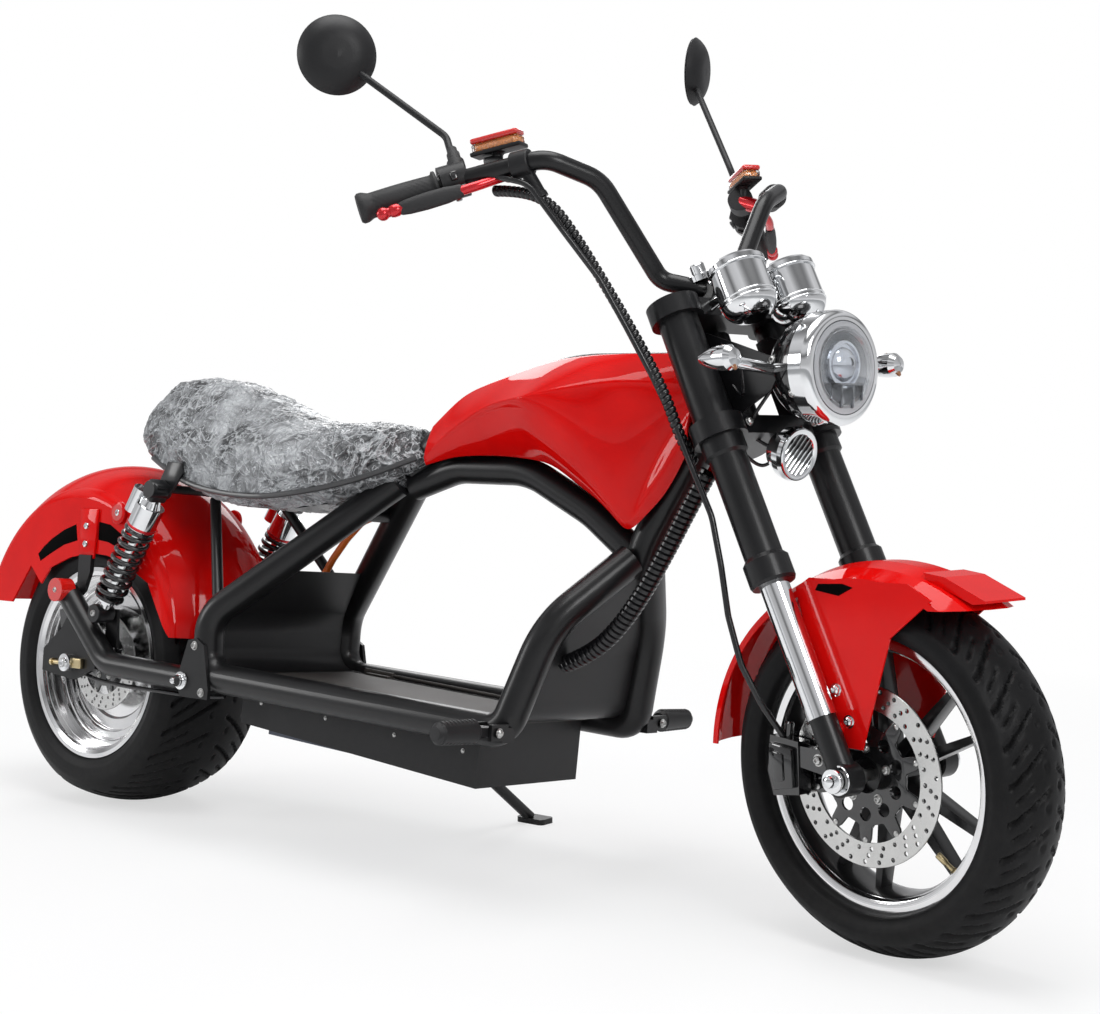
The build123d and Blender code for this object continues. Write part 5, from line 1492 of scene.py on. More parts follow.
@dataclass
class Grips:
    """Bar grips with a diamond pattern between two smooth collars."""

    start: Vector = field(default_factory=lambda: Vector((985.0, 290.0, 983.0)))
    end: Vector = field(default_factory=lambda: Vector((918.0, 392.0, 946.0)))

    def build(self, bench: Bench) -> None:
        """Makes one grip, cuts its diamonds and sets both.

        Args:
            bench: workbench that shapes and finishes pieces.
        """
        outline = [(12.75, 18), (20, 18), (21, 19), (21, 22), (17.5, 24)]
        outline += [(16.9 + 0.8 * sin(pi * step / 46), 24 + 88 * step / 46) for step in range(1, 46)]
        outline += [(17.5, 112), (20, 118), (20.4, 120), (20.4, 125), (18, 128), (0, 128), (0, 126),
                    (12.75, 126), (12.75, 18)]
        grip = bench.turned("grip", outline, 56)
        cut = grip.vertex_groups.new(name="cut")
        for corner in grip.data.vertices:
            if hypot(corner.co.x, corner.co.y) > 16.0 and 26 < corner.co.z < 110:
                angle = atan2(corner.co.y, corner.co.x)
                first = abs(sin(angle * 7 + corner.co.z * 0.42))
                other = abs(sin(angle * 7 - corner.co.z * 0.42))
                cut.add([corner.index], 1.0 - ease(0.10, 0.42, min(first, other)), "REPLACE")
        bench.modify(grip, "DISPLACE", vertex_group="cut", strength=-1.1, mid_level=0.0, direction="NORMAL")
        places = []
        for side in (-1, 1):
            start = Vector((self.start.x, side * self.start.y, self.start.z))
            end = Vector((self.end.x, side * self.end.y, self.end.z))
            places.append(looking(start, end - start))
        pair = bench.copies("bar_grips", grip, places)
        bench.finish(pair, "bar_grips", GRIP_RUBBER, "steering", "grip_rubber", ("grips",), 45.0)


# ---- covers, mudguard trim, bar fittings and small hardware

@dataclass
class SideCovers:
    """Pair of curved red covers with a hood, an outer ridge, a fin and scooped faces."""

    rows: list[tuple[float, tuple[float, float], tuple[float, float], tuple[float, float],
                     tuple[float, float]]] = field(
        default_factory=lambda: [
            (698, (20, 657), (36, 611), (35, 605), (30, 597)),
            (730, (20, 683), (45, 630), (43, 622), (32, 604)),
            (760, (20, 705), (54, 646), (51, 637), (34, 610)),
            (805, (20, 720), (68, 663), (64, 653), (34, 612)),
            (850, (20, 732), (80, 679), (75, 669), (34, 612)),
            (900, (20, 745), (96, 686), (90, 675), (35, 608)),
            (943, (20, 753), (112, 687), (105, 675), (36, 602)),
            (970, (20, 755), (104, 694), (98, 662), (36, 588)),
            (1000, (20, 757), (92, 702), (88, 640), (36, 570)),
            (1022, (20, 757), (82, 706), (76, 612), (36, 558)),
            (1044, (20, 757), (73, 709), (64, 580), (37, 544)),
            (1068, (20, 757), (67, 711), (52, 545), (36, 524)),
            (1089, (20, 756), (64, 711), (42, 516), (34, 504)),
            (1118, (20, 755), (59, 710), (44, 566), (38, 530)),
            (1150, (20, 755), (55, 709), (47, 622), (42, 556)),
            (1172, (20, 754), (52, 708), (47, 652), (44, 588)),
            (1190, (20, 753), (50, 706), (48, 674), (46, 622)),
        ])

    @staticmethod
    def hollow(start: tuple[float, float], end: tuple[float, float], share: float,
               depth: float) -> tuple[float, float]:
        """Point between two corners, drawn in or out by a depth.

        Args:
            start: where it starts.
            end: where it ends.
            share: share of the way between.
            depth: depth in millimetres.

        Returns:
            The point, Y and Z.
        """
        run, rise = end[0] - start[0], end[1] - start[1]
        size = max(hypot(run, rise), 1.0)
        bow = 4.0 * share * (1.0 - share) * depth
        return start[0] + run * share + rise / size * bow, start[1] + rise * share - run / size * bow

    def build(self, bench: Bench) -> None:
        """Shapes one cover from a grid and mirrors it to the other side."""
        for side, node in ((-1, "side_cover_right"), (1, "side_cover_left")):
            bench.clear()
            bpy.ops.mesh.primitive_grid_add(x_subdivisions=len(self.rows) - 1, y_subdivisions=8, size=2.0)
            cover = bpy.context.object
            width = 9
            table = []
            for x, top, outer, crease, low in self.rows:
                reach = hypot(crease[0] - outer[0], crease[1] - outer[1])
                drop = hypot(low[0] - crease[0], low[1] - crease[1])
                line = [top, self.hollow(top, outer, 0.35, -3.0), self.hollow(top, outer, 0.75, -3.0), outer,
                        self.hollow(outer, crease, 0.35, -min(10.0, reach * 0.09)),
                        self.hollow(outer, crease, 0.75, -min(8.0, reach * 0.07)), crease,
                        self.hollow(crease, low, 0.5, -min(16.0, drop * 0.16)), low]
                table.append([(x, side * place[0], place[1]) for place in line])
            count = len(self.rows)
            for corner in cover.data.vertices:
                column = round((corner.co.x + 1.0) / 2.0 * (count - 1))
                row = round((corner.co.y + 1.0) / 2.0 * (width - 1))
                corner.co = Vector(table[column][row])
            with bench.editing(cover, select=False):
                mesh = bmesh.from_edit_mesh(cover.data)
                layers = mesh.edges.layers.float
                sharp = layers.get("crease_edge") or layers.new("crease_edge")
                ridge = {tuple(round(v, 2) for v in line[3]) for line in table}
                fin = {tuple(round(v, 2) for v in line[6]) for line in table[5:13]}
                for edge in mesh.edges:
                    ends = [tuple(round(v, 2) for v in corner.co) for corner in edge.verts]
                    if all(end in ridge for end in ends):
                        edge[sharp] = 0.45
                    elif all(end in fin for end in ends):
                        edge[sharp] = 0.7
                    elif edge.is_boundary:
                        edge[sharp] = 0.9
                bmesh.update_edit_mesh(cover.data)
                bpy.ops.mesh.select_all(action="SELECT")
                bpy.ops.mesh.normals_make_consistent(inside=False)
            outward = sum((face.normal.y * side for face in cover.data.polygons))
            if outward < 0:
                with bench.editing(cover):
                    bpy.ops.mesh.flip_normals()
            bench.modify(cover, "SUBSURF", levels=3, render_levels=3)
            bench.modify(cover, "SOLIDIFY", thickness=3.0, offset=-1.0)
            bench.modify(cover, "BEVEL", width=0.8, segments=2, limit_method="ANGLE", angle_limit=radians(60))
            bench.finish(cover, node + "_shell", RED_PAINT, "frame", "red_paint", (node,), 50.0)


@dataclass
class GuardTrim:
    """Straps, thin black plates of painted shade for the slots, brackets and bosses of both mudguards."""

    rear_slots: list[list[tuple[float, float]]] = field(default_factory=lambda: [
        [(-136, 412), (-144, 424), (-128, 438), (-105, 453), (-72, 469), (-38, 480), (-32, 452), (-70, 443),
         (-108, 426)],
        [(27, 486), (58, 482), (98, 463), (113, 449), (84, 443), (55, 452), (27, 455)],
    ])
    front_slot: list[tuple[float, float]] = field(default_factory=lambda: [
        (1430, 451), (1467, 446), (1489, 457), (1473, 461), (1435, 459)])

    @staticmethod
    def on_side(side: int, distance: float) -> Matrix:
        """Stands a flat outline in X and Z on one side of the bike, its depth outwards."""
        turn = Matrix(((1, 0, 0, 0), (0, 0, side, side * distance), (0, 1, 0, 0), (0, 0, 0, 1)))
        return turn

    def plate(self, bench: Bench, outline: Sequence[tuple[float, float]], side: int, distance: float,
              depth: float,
              bevel: float) -> Object:
        """Raises an outline seen from the side into a plate that stands outwards.

        Args:
            bench: workbench that shapes and finishes pieces.
            outline: corners in X and Z.
            side: -1 for the right side, 1 for the left.
            distance: distance from the middle plane.
            depth: depth in millimetres.
            bevel: width of the rounded edges.

        Returns:
            The plate.
        """
        piece = bench.prism("plate", outline, depth, bevel)
        bench.place(piece, self.on_side(side, distance))
        if side > 0:
            with bench.editing(piece):
                bpy.ops.mesh.normals_make_consistent(inside=False)
        return piece

    def build(self, bench: Bench) -> None:
        """Makes the trim of the rear and the front mudguard.

        Args:
            bench: workbench that shapes and finishes pieces.
        """
        slots, straps, front_slots, bosses = [], [], [], []
        for side in (-1, 1):
            # slots: thin black plates, painted shade of the openings on the rear guard's sides
            for outline in self.rear_slots:
                slots.append(self.plate(bench, outline, side, 123.6, 0.9, 0.3))
            straps.append(self.plate(bench, [(-21, 508), (27, 508), (23, 422), (-17, 422)], side, 124.5, 4.2,
                                     1.4))
            # front slot: the same painted shade on the front guard
            front_slots.append(self.plate(bench, self.front_slot, side, 70.2, 0.8, 0.2))
            ring = bench.turned("ring", [(7, -2), (19, -2), (20, 1), (19.5, 4), (17, 5.4), (13, 5.4),
                                         (11.5, 2.5), (7, 2.2),
                                         (7, -2)], 40)
            bench.place(ring, looking((83, side * 125.5, 503), (0, side, 0)))
            bosses.append(ring)
        bench.gather("rear_guard_slot_shade", slots, SLOT_SHADE_BLACK, "frame", "black_plastic")
        bench.gather("rear_guard_straps", straps, RED_PAINT, "frame", "red_paint")
        bench.gather("rear_guard_bosses", bosses, RED_PAINT, "frame", "red_paint")
        bench.gather("front_guard_slot_shade", front_slots, SLOT_SHADE_BLACK, "steering", "black_plastic")
        rings = []
        for radius, offset in ((312.6, 44.0), (312.6, -44.0)):
            bead = bench.turned("bead", [(radius - 6.2, offset - 4), (radius - 4.6, offset - 2),
                                         (radius - 4.2, offset),
                                         (radius - 4.6, offset + 2), (radius - 6.2, offset + 4),
                                         (radius - 6.2, offset - 4)], 160)
            bench.place(bead, looking((-35, 0, 275), (0, 1, 0)))
            with bench.editing(bead, select=False):
                bench.choose_faces(
                    bead, lambda spot, normal: spot.z < 305 or (spot.x > 150 and spot.z < 330) or spot.x < -330)
                bpy.ops.mesh.delete(type="FACE")
            rings.append(bead)
        bench.gather("rear_guard_beads", rings, RED_PAINT, "frame", "red_paint")


@dataclass
class BarFittings:
    """Marker lamps, cable clips, lever sleeves, mirror glasses and switch buttons."""

    def lamp_place(self, side: int) -> Matrix:
        """Place of a marker lamp: X along it, Z up through its lens.

        Args:
            side: -1 for the right side, 1 for the left.

        Returns:
            The place.
        """
        spot = Vector((1024.0, side * 240.0, 1035.0))
        run = Vector((-122.0, side * 62.0, -23.0)).normalized()
        up = (Vector((0, 0, 1)) - run * run.z).normalized()
        across = up.cross(run)
        turn = Matrix((run, across, up)).transposed().to_4x4()
        return Matrix.Translation(spot) @ turn

    def build(self, bench: Bench) -> None:
        """Makes the fittings on both sides.

        Args:
            bench: workbench that shapes and finishes pieces.
        """
        for name, size, height, finish, bevel, slot in (
                ("marker_bases", (74, 30, 6), -9.5, PLASTIC_BLACK, 2.0, "black_plastic"),
                ("marker_lenses", (69, 27, 12), -1.5, LAMP_GLASS, 3.5, "lamp_amber"),
                ("marker_cores", (60, 19, 9), -1.5, LAMP_AMBER, 3.0, "lamp_amber"),
                ("marker_tops", (70, 28, 8), 8.2, LAMP_RED, 3.4, "lamp_red")):
            block = bench.block(name, size, bevel)
            bench.place(block, Matrix.Translation((0, 0, height)))
            pair = bench.copies(name, block, [self.lamp_place(-1), self.lamp_place(1)])
            bench.finish(pair, name, finish, "steering", slot, ("marker_lamps",))
        feet, clips, sleeves, boots, glasses, rims, buttons, tips = [], [], [], [], [], [], [], []
        for side in (-1, 1):
            start = Vector((985.0, side * 290.0, 983.0))
            way = (Vector((918.0, side * 392.0, 946.0)) - start).normalized()
            foot = bench.turned("foot", [(0, 0), (9, 0), (7, 5), (7, 22), (10, 26), (0, 26)], 20)
            spot = Vector((1024, side * 240, 1035))
            bench.place(foot, looking(spot - Vector((0, 0, 38)), (0, 0, 1)))
            feet.append(foot)
            bar = (Vector((985, side * 290, 983)) - Vector((1108, side * 228, 1006))).normalized()
            sleeve = bench.turned("sleeve", [(12.8, -13), (17, -13), (18.2, -11.5), (18.2, 11.5), (17, 13),
                                             (12.8, 13), (12.8, -13)], 32)
            middle = Vector((1108, side * 228, 1006)) + bar * 34
            bench.place(sleeve, looking(middle, bar))
            clips.append(sleeve)
            if side < 0:
                drop = bench.turned("drop", [(0, 4), (9.5, 4), (9.0, 14), (8.6, 44), (9.6, 46), (9.6, 52),
                                             (0, 52)], 24)
                bench.place(drop, looking(middle, Vector((1098, side * 226, 956)) - middle))
                clips.append(drop)
            knee = start - way * 8 + Vector((46, 0, -12))
            tip = start + way * 112 + Vector((30, 0, -14))
            rubber = bench.turned("rubber", [(0, 0), (8.0, 0), (9.2, 3), (9.6, 10), (11.2, 22), (11.6, 50),
                                             (10.4, 74),
                                             (8.8, 84), (7.4, 87), (0, 87)], 28)
            flat = Matrix.Diagonal((0.72, 1.0, 1.0, 1.0))
            bench.place(rubber, looking(knee + (tip - knee) * 0.16, tip - knee) @ flat)
            sleeves.append(rubber)
            end = bench.turned("end", [(0, 0), (7.2, 0), (8.6, 2.5), (8.8, 9), (7.6, 13), (4, 15.5),
                                       (0, 16)], 24)
            bench.place(end, looking(knee + (tip - knee) * 0.16 + (tip - knee).normalized() * 86, tip - knee))
            tips.append(end)
            foot_spot = Vector((988, side * 282, 996))
            corner = Vector((946, -267, 1052)) if side < 0 else Vector((960, 278, 1062))
            boot = bench.turned("boot", [(0, -4), (12, -4), (12, 8), (9, 12), (9, 24), (7, 27), (7, 34),
                                         (5.6, 36), (0, 36)], 28)
            bench.place(boot, looking(foot_spot + Vector((0, 0, 8)), corner - foot_spot))
            boots.append(boot)
            head = Vector((811, -353, 1174)) if side < 0 else Vector((814, 353, 1248))
            back = Vector((0.85, side * 0.5, -0.08)).normalized()
            glass = bench.turned("glass", [(0, 0.5), (48.5, 0.5), (49, 0.0), (0, 0.0)], 56)
            bench.place(glass, looking(head - back * 6.2, -back))
            glasses.append(glass)
            rim = bench.turned("rim", [(49.2, -0.4), (52.6, -0.4), (53, 0.8), (51.2, 1.8), (49.2, 1.2),
                                       (49.2, -0.4)], 56)
            bench.place(rim, looking(head - back * 6.2, -back))
            rims.append(rim)
            for count, turn in enumerate((-70, -35, 10)):
                knob = bench.block("knob", (9, 12, 7), 2.0)
                lift = looking(start - way * 6, way) @ Matrix.Rotation(radians(turn), 4, "Z")
                lift = lift @ Matrix.Translation((24.5, 0, 2 - 9 * (count % 2)))
                bench.place(knob, lift @ Matrix.Rotation(pi / 2, 4, "Y"))
                buttons.append(knob)
        rows = (("marker_feet", feet, PLASTIC_BLACK, "black_plastic", ("marker_lamps",)),
                ("cable_clips", clips, PLASTIC_BLACK, "black_plastic", ()),
                ("lever_sleeves", sleeves, GRIP_RUBBER, "grip_rubber", ()),
                ("lever_tips", tips, RED_ANODISED, "red_anodised", ()),
                ("mirror_boots", boots, GRIP_RUBBER, "black_plastic", ()),
                ("mirror_glasses", glasses, MIRROR_GLASS, "chrome_trim", ()),
                ("mirror_rims", rims, PLASTIC_BLACK, "black_plastic", ()),
                ("switch_buttons", buttons, GLOSS_BLACK, "black_plastic", ()))
        for name, pieces, finish, slot, nodes in rows:
            bench.gather(name, pieces, finish, "steering", slot, nodes)


@dataclass
class FrontHardware:
    """Horn grille, pod rings and dials, axle nuts, caliper face, key switch and lamp leads."""

    def build(self, bench: Bench) -> None:
        """Makes each small group of the steering head and the fork.

        Args:
            bench: workbench that shapes and finishes pieces.
        """
        face = looking((1341, 0, 618), (1, 0, -0.18))
        dish = bench.turned("dish", [(0, 0.5), (27, 0.5), (28, -0.6), (0, -0.6)], 48)
        bench.place(dish, face)
        bench.finish(dish, "horn_recess", GLOSS_BLACK, "steering", "chrome_trim")
        bars = []
        for index in range(-3, 4):
            offset = index * 7.4
            bar = bench.block("bar", (2 * (27.5 ** 2 - offset * offset) ** 0.5, 2.0, 2.6), 0.7, 1)
            bench.place(bar, Matrix.Rotation(radians(52), 4, "Z") @ Matrix.Translation((0, offset, 1.4)))
            bars.append(bar)
        hoop = bench.turned("hoop", [(26.5, 0), (30, 0), (33.5, 1.2), (34.3, 2.6), (33, 3.4), (28, 3.0),
                                     (26.5, 1.8), (26.5, 0)], 56)
        bars.append(hoop)
        grille = bench.join("horn_grille", bars)
        bench.place(grille, face)
        bench.finish(grille, "horn_grille", CHROME, "steering", "chrome_trim")
        rings, dials, marks = [], [], []
        for side in (-48.0, 48.0):
            base = at_leg(594, 86, side)
            for height, radius in ((16, 37.5), (22, 37.5), (64, 39.2)):
                ring = bench.turned("ring", [(36, -1.2), (radius, -1.2), (radius + 0.7, 0), (radius, 1.2),
                                             (36, 1.2), (36, -1.2)], 64)
                bench.place(ring, looking(base + UP * height, UP))
                rings.append(ring)
            dial = bench.turned("dial", [(0, 0.7), (30, 0.7), (31, 0.1), (0, 0.1)], 48)
            bench.place(dial, looking(base + UP * 76.0, UP))
            dials.append(dial)
            for tick in range(13):
                angle = radians(-130 + 260 * tick / 12)
                mark = bench.block("mark", (5.0, 1.1, 0.4), 0.1, 1)
                spot = looking(base + UP * 76.9, UP) @ Matrix.Rotation(angle, 4, "Z")
                bench.place(mark, spot @ Matrix.Translation((24.5, 0, 0)))
                marks.append(mark)
            needle = bench.block("needle", (22, 1.4, 0.5), 0.2, 1)
            spot = looking(base + UP * 77.2, UP) @ Matrix.Rotation(radians(-128), 4, "Z")
            bench.place(needle, spot @ Matrix.Translation((9, 0, 0)))
            marks.append(needle)
        bench.gather("pod_rings", rings, CHROME, "steering", "chrome_trim")
        bench.gather("pod_dials", dials, DIAL_FACE, "steering", "black_plastic")
        bench.gather("pod_marks", marks, PALE_MARKS, "steering", "chrome_trim")
        nuts = []
        for side in (-1, 1):
            nut = bench.turned("nut", [(0, 14), (4, 13.6), (7, 11.5), (8.2, 8), (8.4, 4), (14.5, 3.8),
                                       (15, 3), (15, 0), (0, 0)], 32)
            bench.place(nut, looking((1495, side * 113.5, 228.6), (0, side, 0)))
            nuts.append(nut)
            washer = bench.turned("washer", [(8, 0), (18, 0), (18.5, 0.8), (18, 1.8), (8, 1.8), (8, 0)], 32)
            bench.place(washer, looking((1495, side * 105.2, 228.6), (0, side, 0)))
            nuts.append(washer)
        bench.gather("front_axle_nuts", nuts, CHROME, "steering", "chrome_trim")
        trim = GuardTrim()
        body = trim.plate(bench, [(1368, 258), (1406, 254), (1409, 204), (1376, 198), (1368, 222)], -1, 82.0,
                          7.0, 3.0)
        rib = trim.plate(bench, [(1376, 248), (1394, 246), (1396, 212), (1380, 208)], -1, 88.0, 4.0, 2.0)
        post = bench.turned("post", [(0, 0), (6, 0), (6, 20), (4, 22), (0, 22)], 20)
        bench.place(post, looking((1386, -70, 262), (0.1, 0, 1)))
        bench.gather("front_caliper_face", [body, rib, post], GLOSS_BLACK, "steering", "black_cast")
        key = bench.turned("key", [(0, 16), (8, 16), (10, 14), (10, 3), (15, 2), (15, -6), (0, -6)], 32)
        bench.place(key, looking((1204, -40, 858), (-0.2, -0.35, 1)))
        bench.finish(key, "key_switch", CHROME, "steering", "chrome_trim")
        leads = []
        for route in ([(1330, -40, 700), (1310, -52, 668), (1296, -46, 650), (1290, -30, 640),
                       (1300, -14, 630)],
                      [(1352, -120, 732), (1330, -90, 700), (1306, -70, 690), (1280, -60, 712)],
                      [(1352, 120, 732), (1330, 90, 700), (1306, 70, 690), (1280, 60, 712)],
                      [(1310, 6, 622), (1298, -4, 606), (1286, -18, 602), (1282, -36, 618)]):
            leads.append(bench.wire("lead", route, 2.4))
        bench.gather("lamp_leads", leads, CABLE_BLACK, "steering", "cable_black")
        lenses = []
        for side in (-1, 1):
            lens = bench.turned("lens", [(0, 3.2), (5, 2.8), (9, 1.6), (11.5, 0.0), (11.5, -2), (0, -2)], 32)
            bench.place(lens, looking((1370, side * 159, 738),
                                      (0.8, 0, 0.6)) @ Matrix.Diagonal((0.62, 1.7, 1.0, 1.0)))
            lenses.append(lens)
        bench.gather("signal_lenses", lenses, SIGNAL_AMBER, "steering", "lamp_amber")


@dataclass
class RearHardware:
    """Hub cover, axle adjusters, deck fittings, peg rubbers and the stand's spring."""

    def build(self, bench: Bench) -> None:
        """Makes each small group of the frame and the rear wheel.

        Args:
            bench: workbench that shapes and finishes pieces.
        """
        cap = bench.turned("cap", [(9, -70.2), (9, -71.4), (33, -71.6), (41.5, -46.6), (43, -46.0),
                                   (41, -45.4), (33.5, -70.2), (9, -70.2)], 64)
        bench.place(cap, looking(REAR_AXLE, (0, 1, 0)))
        bench.finish(cap, "rear_hub_cover", CAST_BLACK, "rear_wheel", "black_cast")
        beads = []
        for radius, offset in ((149.4, -88), (148.8, -78), (134.6, -60), (120.6, -50), (150.5, 88),
                               (149.0, 74)):
            bead = bench.turned("bead", [(radius, offset - 1.6), (radius - 1.3, offset - 0.8),
                                         (radius - 1.3, offset + 0.8),
                                         (radius, offset + 1.6), (radius + 0.8, offset),
                                         (radius, offset - 1.6)], 128)
            beads.append(bead)
        band = bench.join("rear_rim_beads", beads)
        bench.place(band, looking(REAR_AXLE, (0, 1, 0)))
        bench.finish(band, "rear_rim_beads", RIM_POLISH_REAR, "rear_wheel", "polished_rim")
        brass, steel = [], []
        for side in (-1, 1):
            block = bench.block("adjuster", (34, 8, 17), 1.6)
            bench.place(block, Matrix.Translation((22, side * 150, 243)))
            brass.append(block)
            screw = bench.turned("screw", [(0, 0), (6.5, 0), (6.5, 5), (4, 5), (4, 40), (7, 40), (7, 46),
                                           (4, 46), (4, 62), (0, 62)], 24)
            bench.place(screw, looking((-44, side * 151, 241), (1, 0, 0)))
            brass.append(screw)
            nut = bench.turned("nut", [(0, 9), (6, 8.6), (8, 6), (8.6, 3.6), (15, 3.2), (15.6, 1.4),
                                       (15.6, 0), (0, 0)], 32)
            bench.place(nut, looking((0, side * 156, 242.6), (0, side, 0)))
            steel.append(nut)
            pivot = bench.turned("pivot", [(0, 20), (3.6, 19.6), (5, 18), (5, 10), (9, 9.6), (9.6, 8),
                                           (9.6, 3), (14, 2.6), (14.6, 1), (14.6, 0), (0, 0)], 32)
            bench.place(pivot, looking((336, side * 178, 241), (0, side, 0)))
            steel.append(pivot)
        bench.gather("axle_adjusters", brass, BRASS_STEEL, "frame", "zinc_steel")
        bench.gather("rear_nuts", steel, CHROME, "frame", "chrome_trim")
        slope = radians(3.05)
        deck = Matrix.Translation((400, 0, 259)) @ Matrix.Rotation(slope, 4, "Y")
        slot = bench.block("slot", (22, 5, 1.2), 0.4, 1)
        plate = bench.turned("plate", [(0, 1.2), (11, 1.2), (12, 0.4), (12, -0.5), (0, -0.5)], 32)
        bench.place(slot, deck @ Matrix.Translation((176, -78, 2.8)))
        bench.place(plate, deck @ Matrix.Translation((176, -78, 2.0)))
        bench.gather("lid_lock", [slot, plate], PLASTIC_BLACK, "deck_lid", "black_plastic")
        edges = []
        for side in (-1, 1):
            strip = bench.block("strip", (420, 2.4, 1.6), 0.6, 1)
            bench.place(strip, deck @ Matrix.Translation((246, side * 104.0, 2.4)))
            edges.append(strip)
        bench.gather("lid_edges", edges, PLASTIC_BLACK, "deck_lid", "black_plastic")
        for side, body in ((-1, "peg_right"), (1, "peg_left")):
            profile = [(9, 2)]
            for step in range(9):
                start = 6 + step * 7.4
                profile += [(17.2 - 0.18 * step, start), (17.4 - 0.18 * step, start + 4.4),
                            (15.4 - 0.18 * step, start + 5.0),
                            (15.4 - 0.18 * step, start + 7.0)]
            profile += [(15, 74), (10, 80), (0, 80.5), (0, 2), (9, 2)]
            rubber = bench.turned("rubber", profile, 32)
            bench.place(rubber, looking((985, side * 210, 230),
                                        (0, side, 0)) @ Matrix.Diagonal((0.80, 1.0, 1.0, 1.0)))
            bench.finish(rubber, body + "_rubber", GRIP_RUBBER, body, "grip_rubber", angle=30.0)
        clevises = []
        for side in (-1, 1):
            top = Vector((216, side * 153, 542))
            way = Vector((128, 0, 210)).normalized()
            fork = bench.block("fork", (26, 34, 34), 5.0)
            bench.place(fork, looking(top - way * 2, way) @ Matrix.Rotation(pi / 2, 4, "Z"))
            neck = bench.turned("neck", [(0, -42), (15, -42), (16, -38), (13, -30), (13, -8), (0, -8)], 28)
            bench.place(neck, looking(top, way))
            eye = bench.turned("eye", [(0, 0), (14, 0), (15, 2), (15, 36), (14, 38), (0, 38)], 32)
            bench.place(eye, looking(top - Vector((0, side * 19, 0)), (0, side, 0)))
            low = Vector((88, side * 153, 332))
            foot = bench.turned("foot", [(0, 0), (15, 0), (16, 2), (16, 32), (15, 34), (0, 34)], 32)
            bench.place(foot, looking(low - Vector((0, side * 17, 0)), (0, side, 0)))
            clevises += [fork, neck, eye, foot]
            ear = bench.prism("ear", [(198, 548), (228, 532), (262, 572), (256, 588), (222, 590)], 5.0, 1.2)
            bench.place(ear, GuardTrim.on_side(side, 136.0))
            if side > 0:
                with bench.editing(ear):
                    bpy.ops.mesh.normals_make_consistent(inside=False)
            clevises.append(ear)
        bench.gather("shock_clevises", clevises, CAST_BLACK, "frame", "black_cast")
        coil = []
        bench.clear()
        bpy.ops.mesh.primitive_circle_add(vertices=8, radius=1.3, location=(6.2, 0, 0),
                                          rotation=(pi / 2, 0, 0))
        spring = bpy.context.object
        bench.pick(spring)
        bpy.ops.object.transform_apply(location=True, rotation=True, scale=True)
        bench.modify(spring, "SCREW", axis="Z", angle=2 * pi, screw_offset=2.9, iterations=20, steps=14,
                     render_steps=14,
                     use_merge_vertices=True)
        way = Vector((22, 163, -116.4)).normalized()
        bench.place(spring, looking(Vector((664, 137, 152)) + way * 30, way))
        coil.append(spring)
        bench.gather("stand_spring", coil, STEEL, "side_stand", "zinc_steel", angle=50.0)
        hose = bench.wire("rear_hose", [(-48, -130, 322), (-58, -134, 296), (-40, -134, 262),
                                        (20, -132, 222), (110, -134, 214),
                                        (240, -136, 214), (330, -128, 212), (372, -118, 218)], 3.6)
        bench.finish(hose, "rear_brake_hose", CABLE_BLACK, "frame", "cable_black")


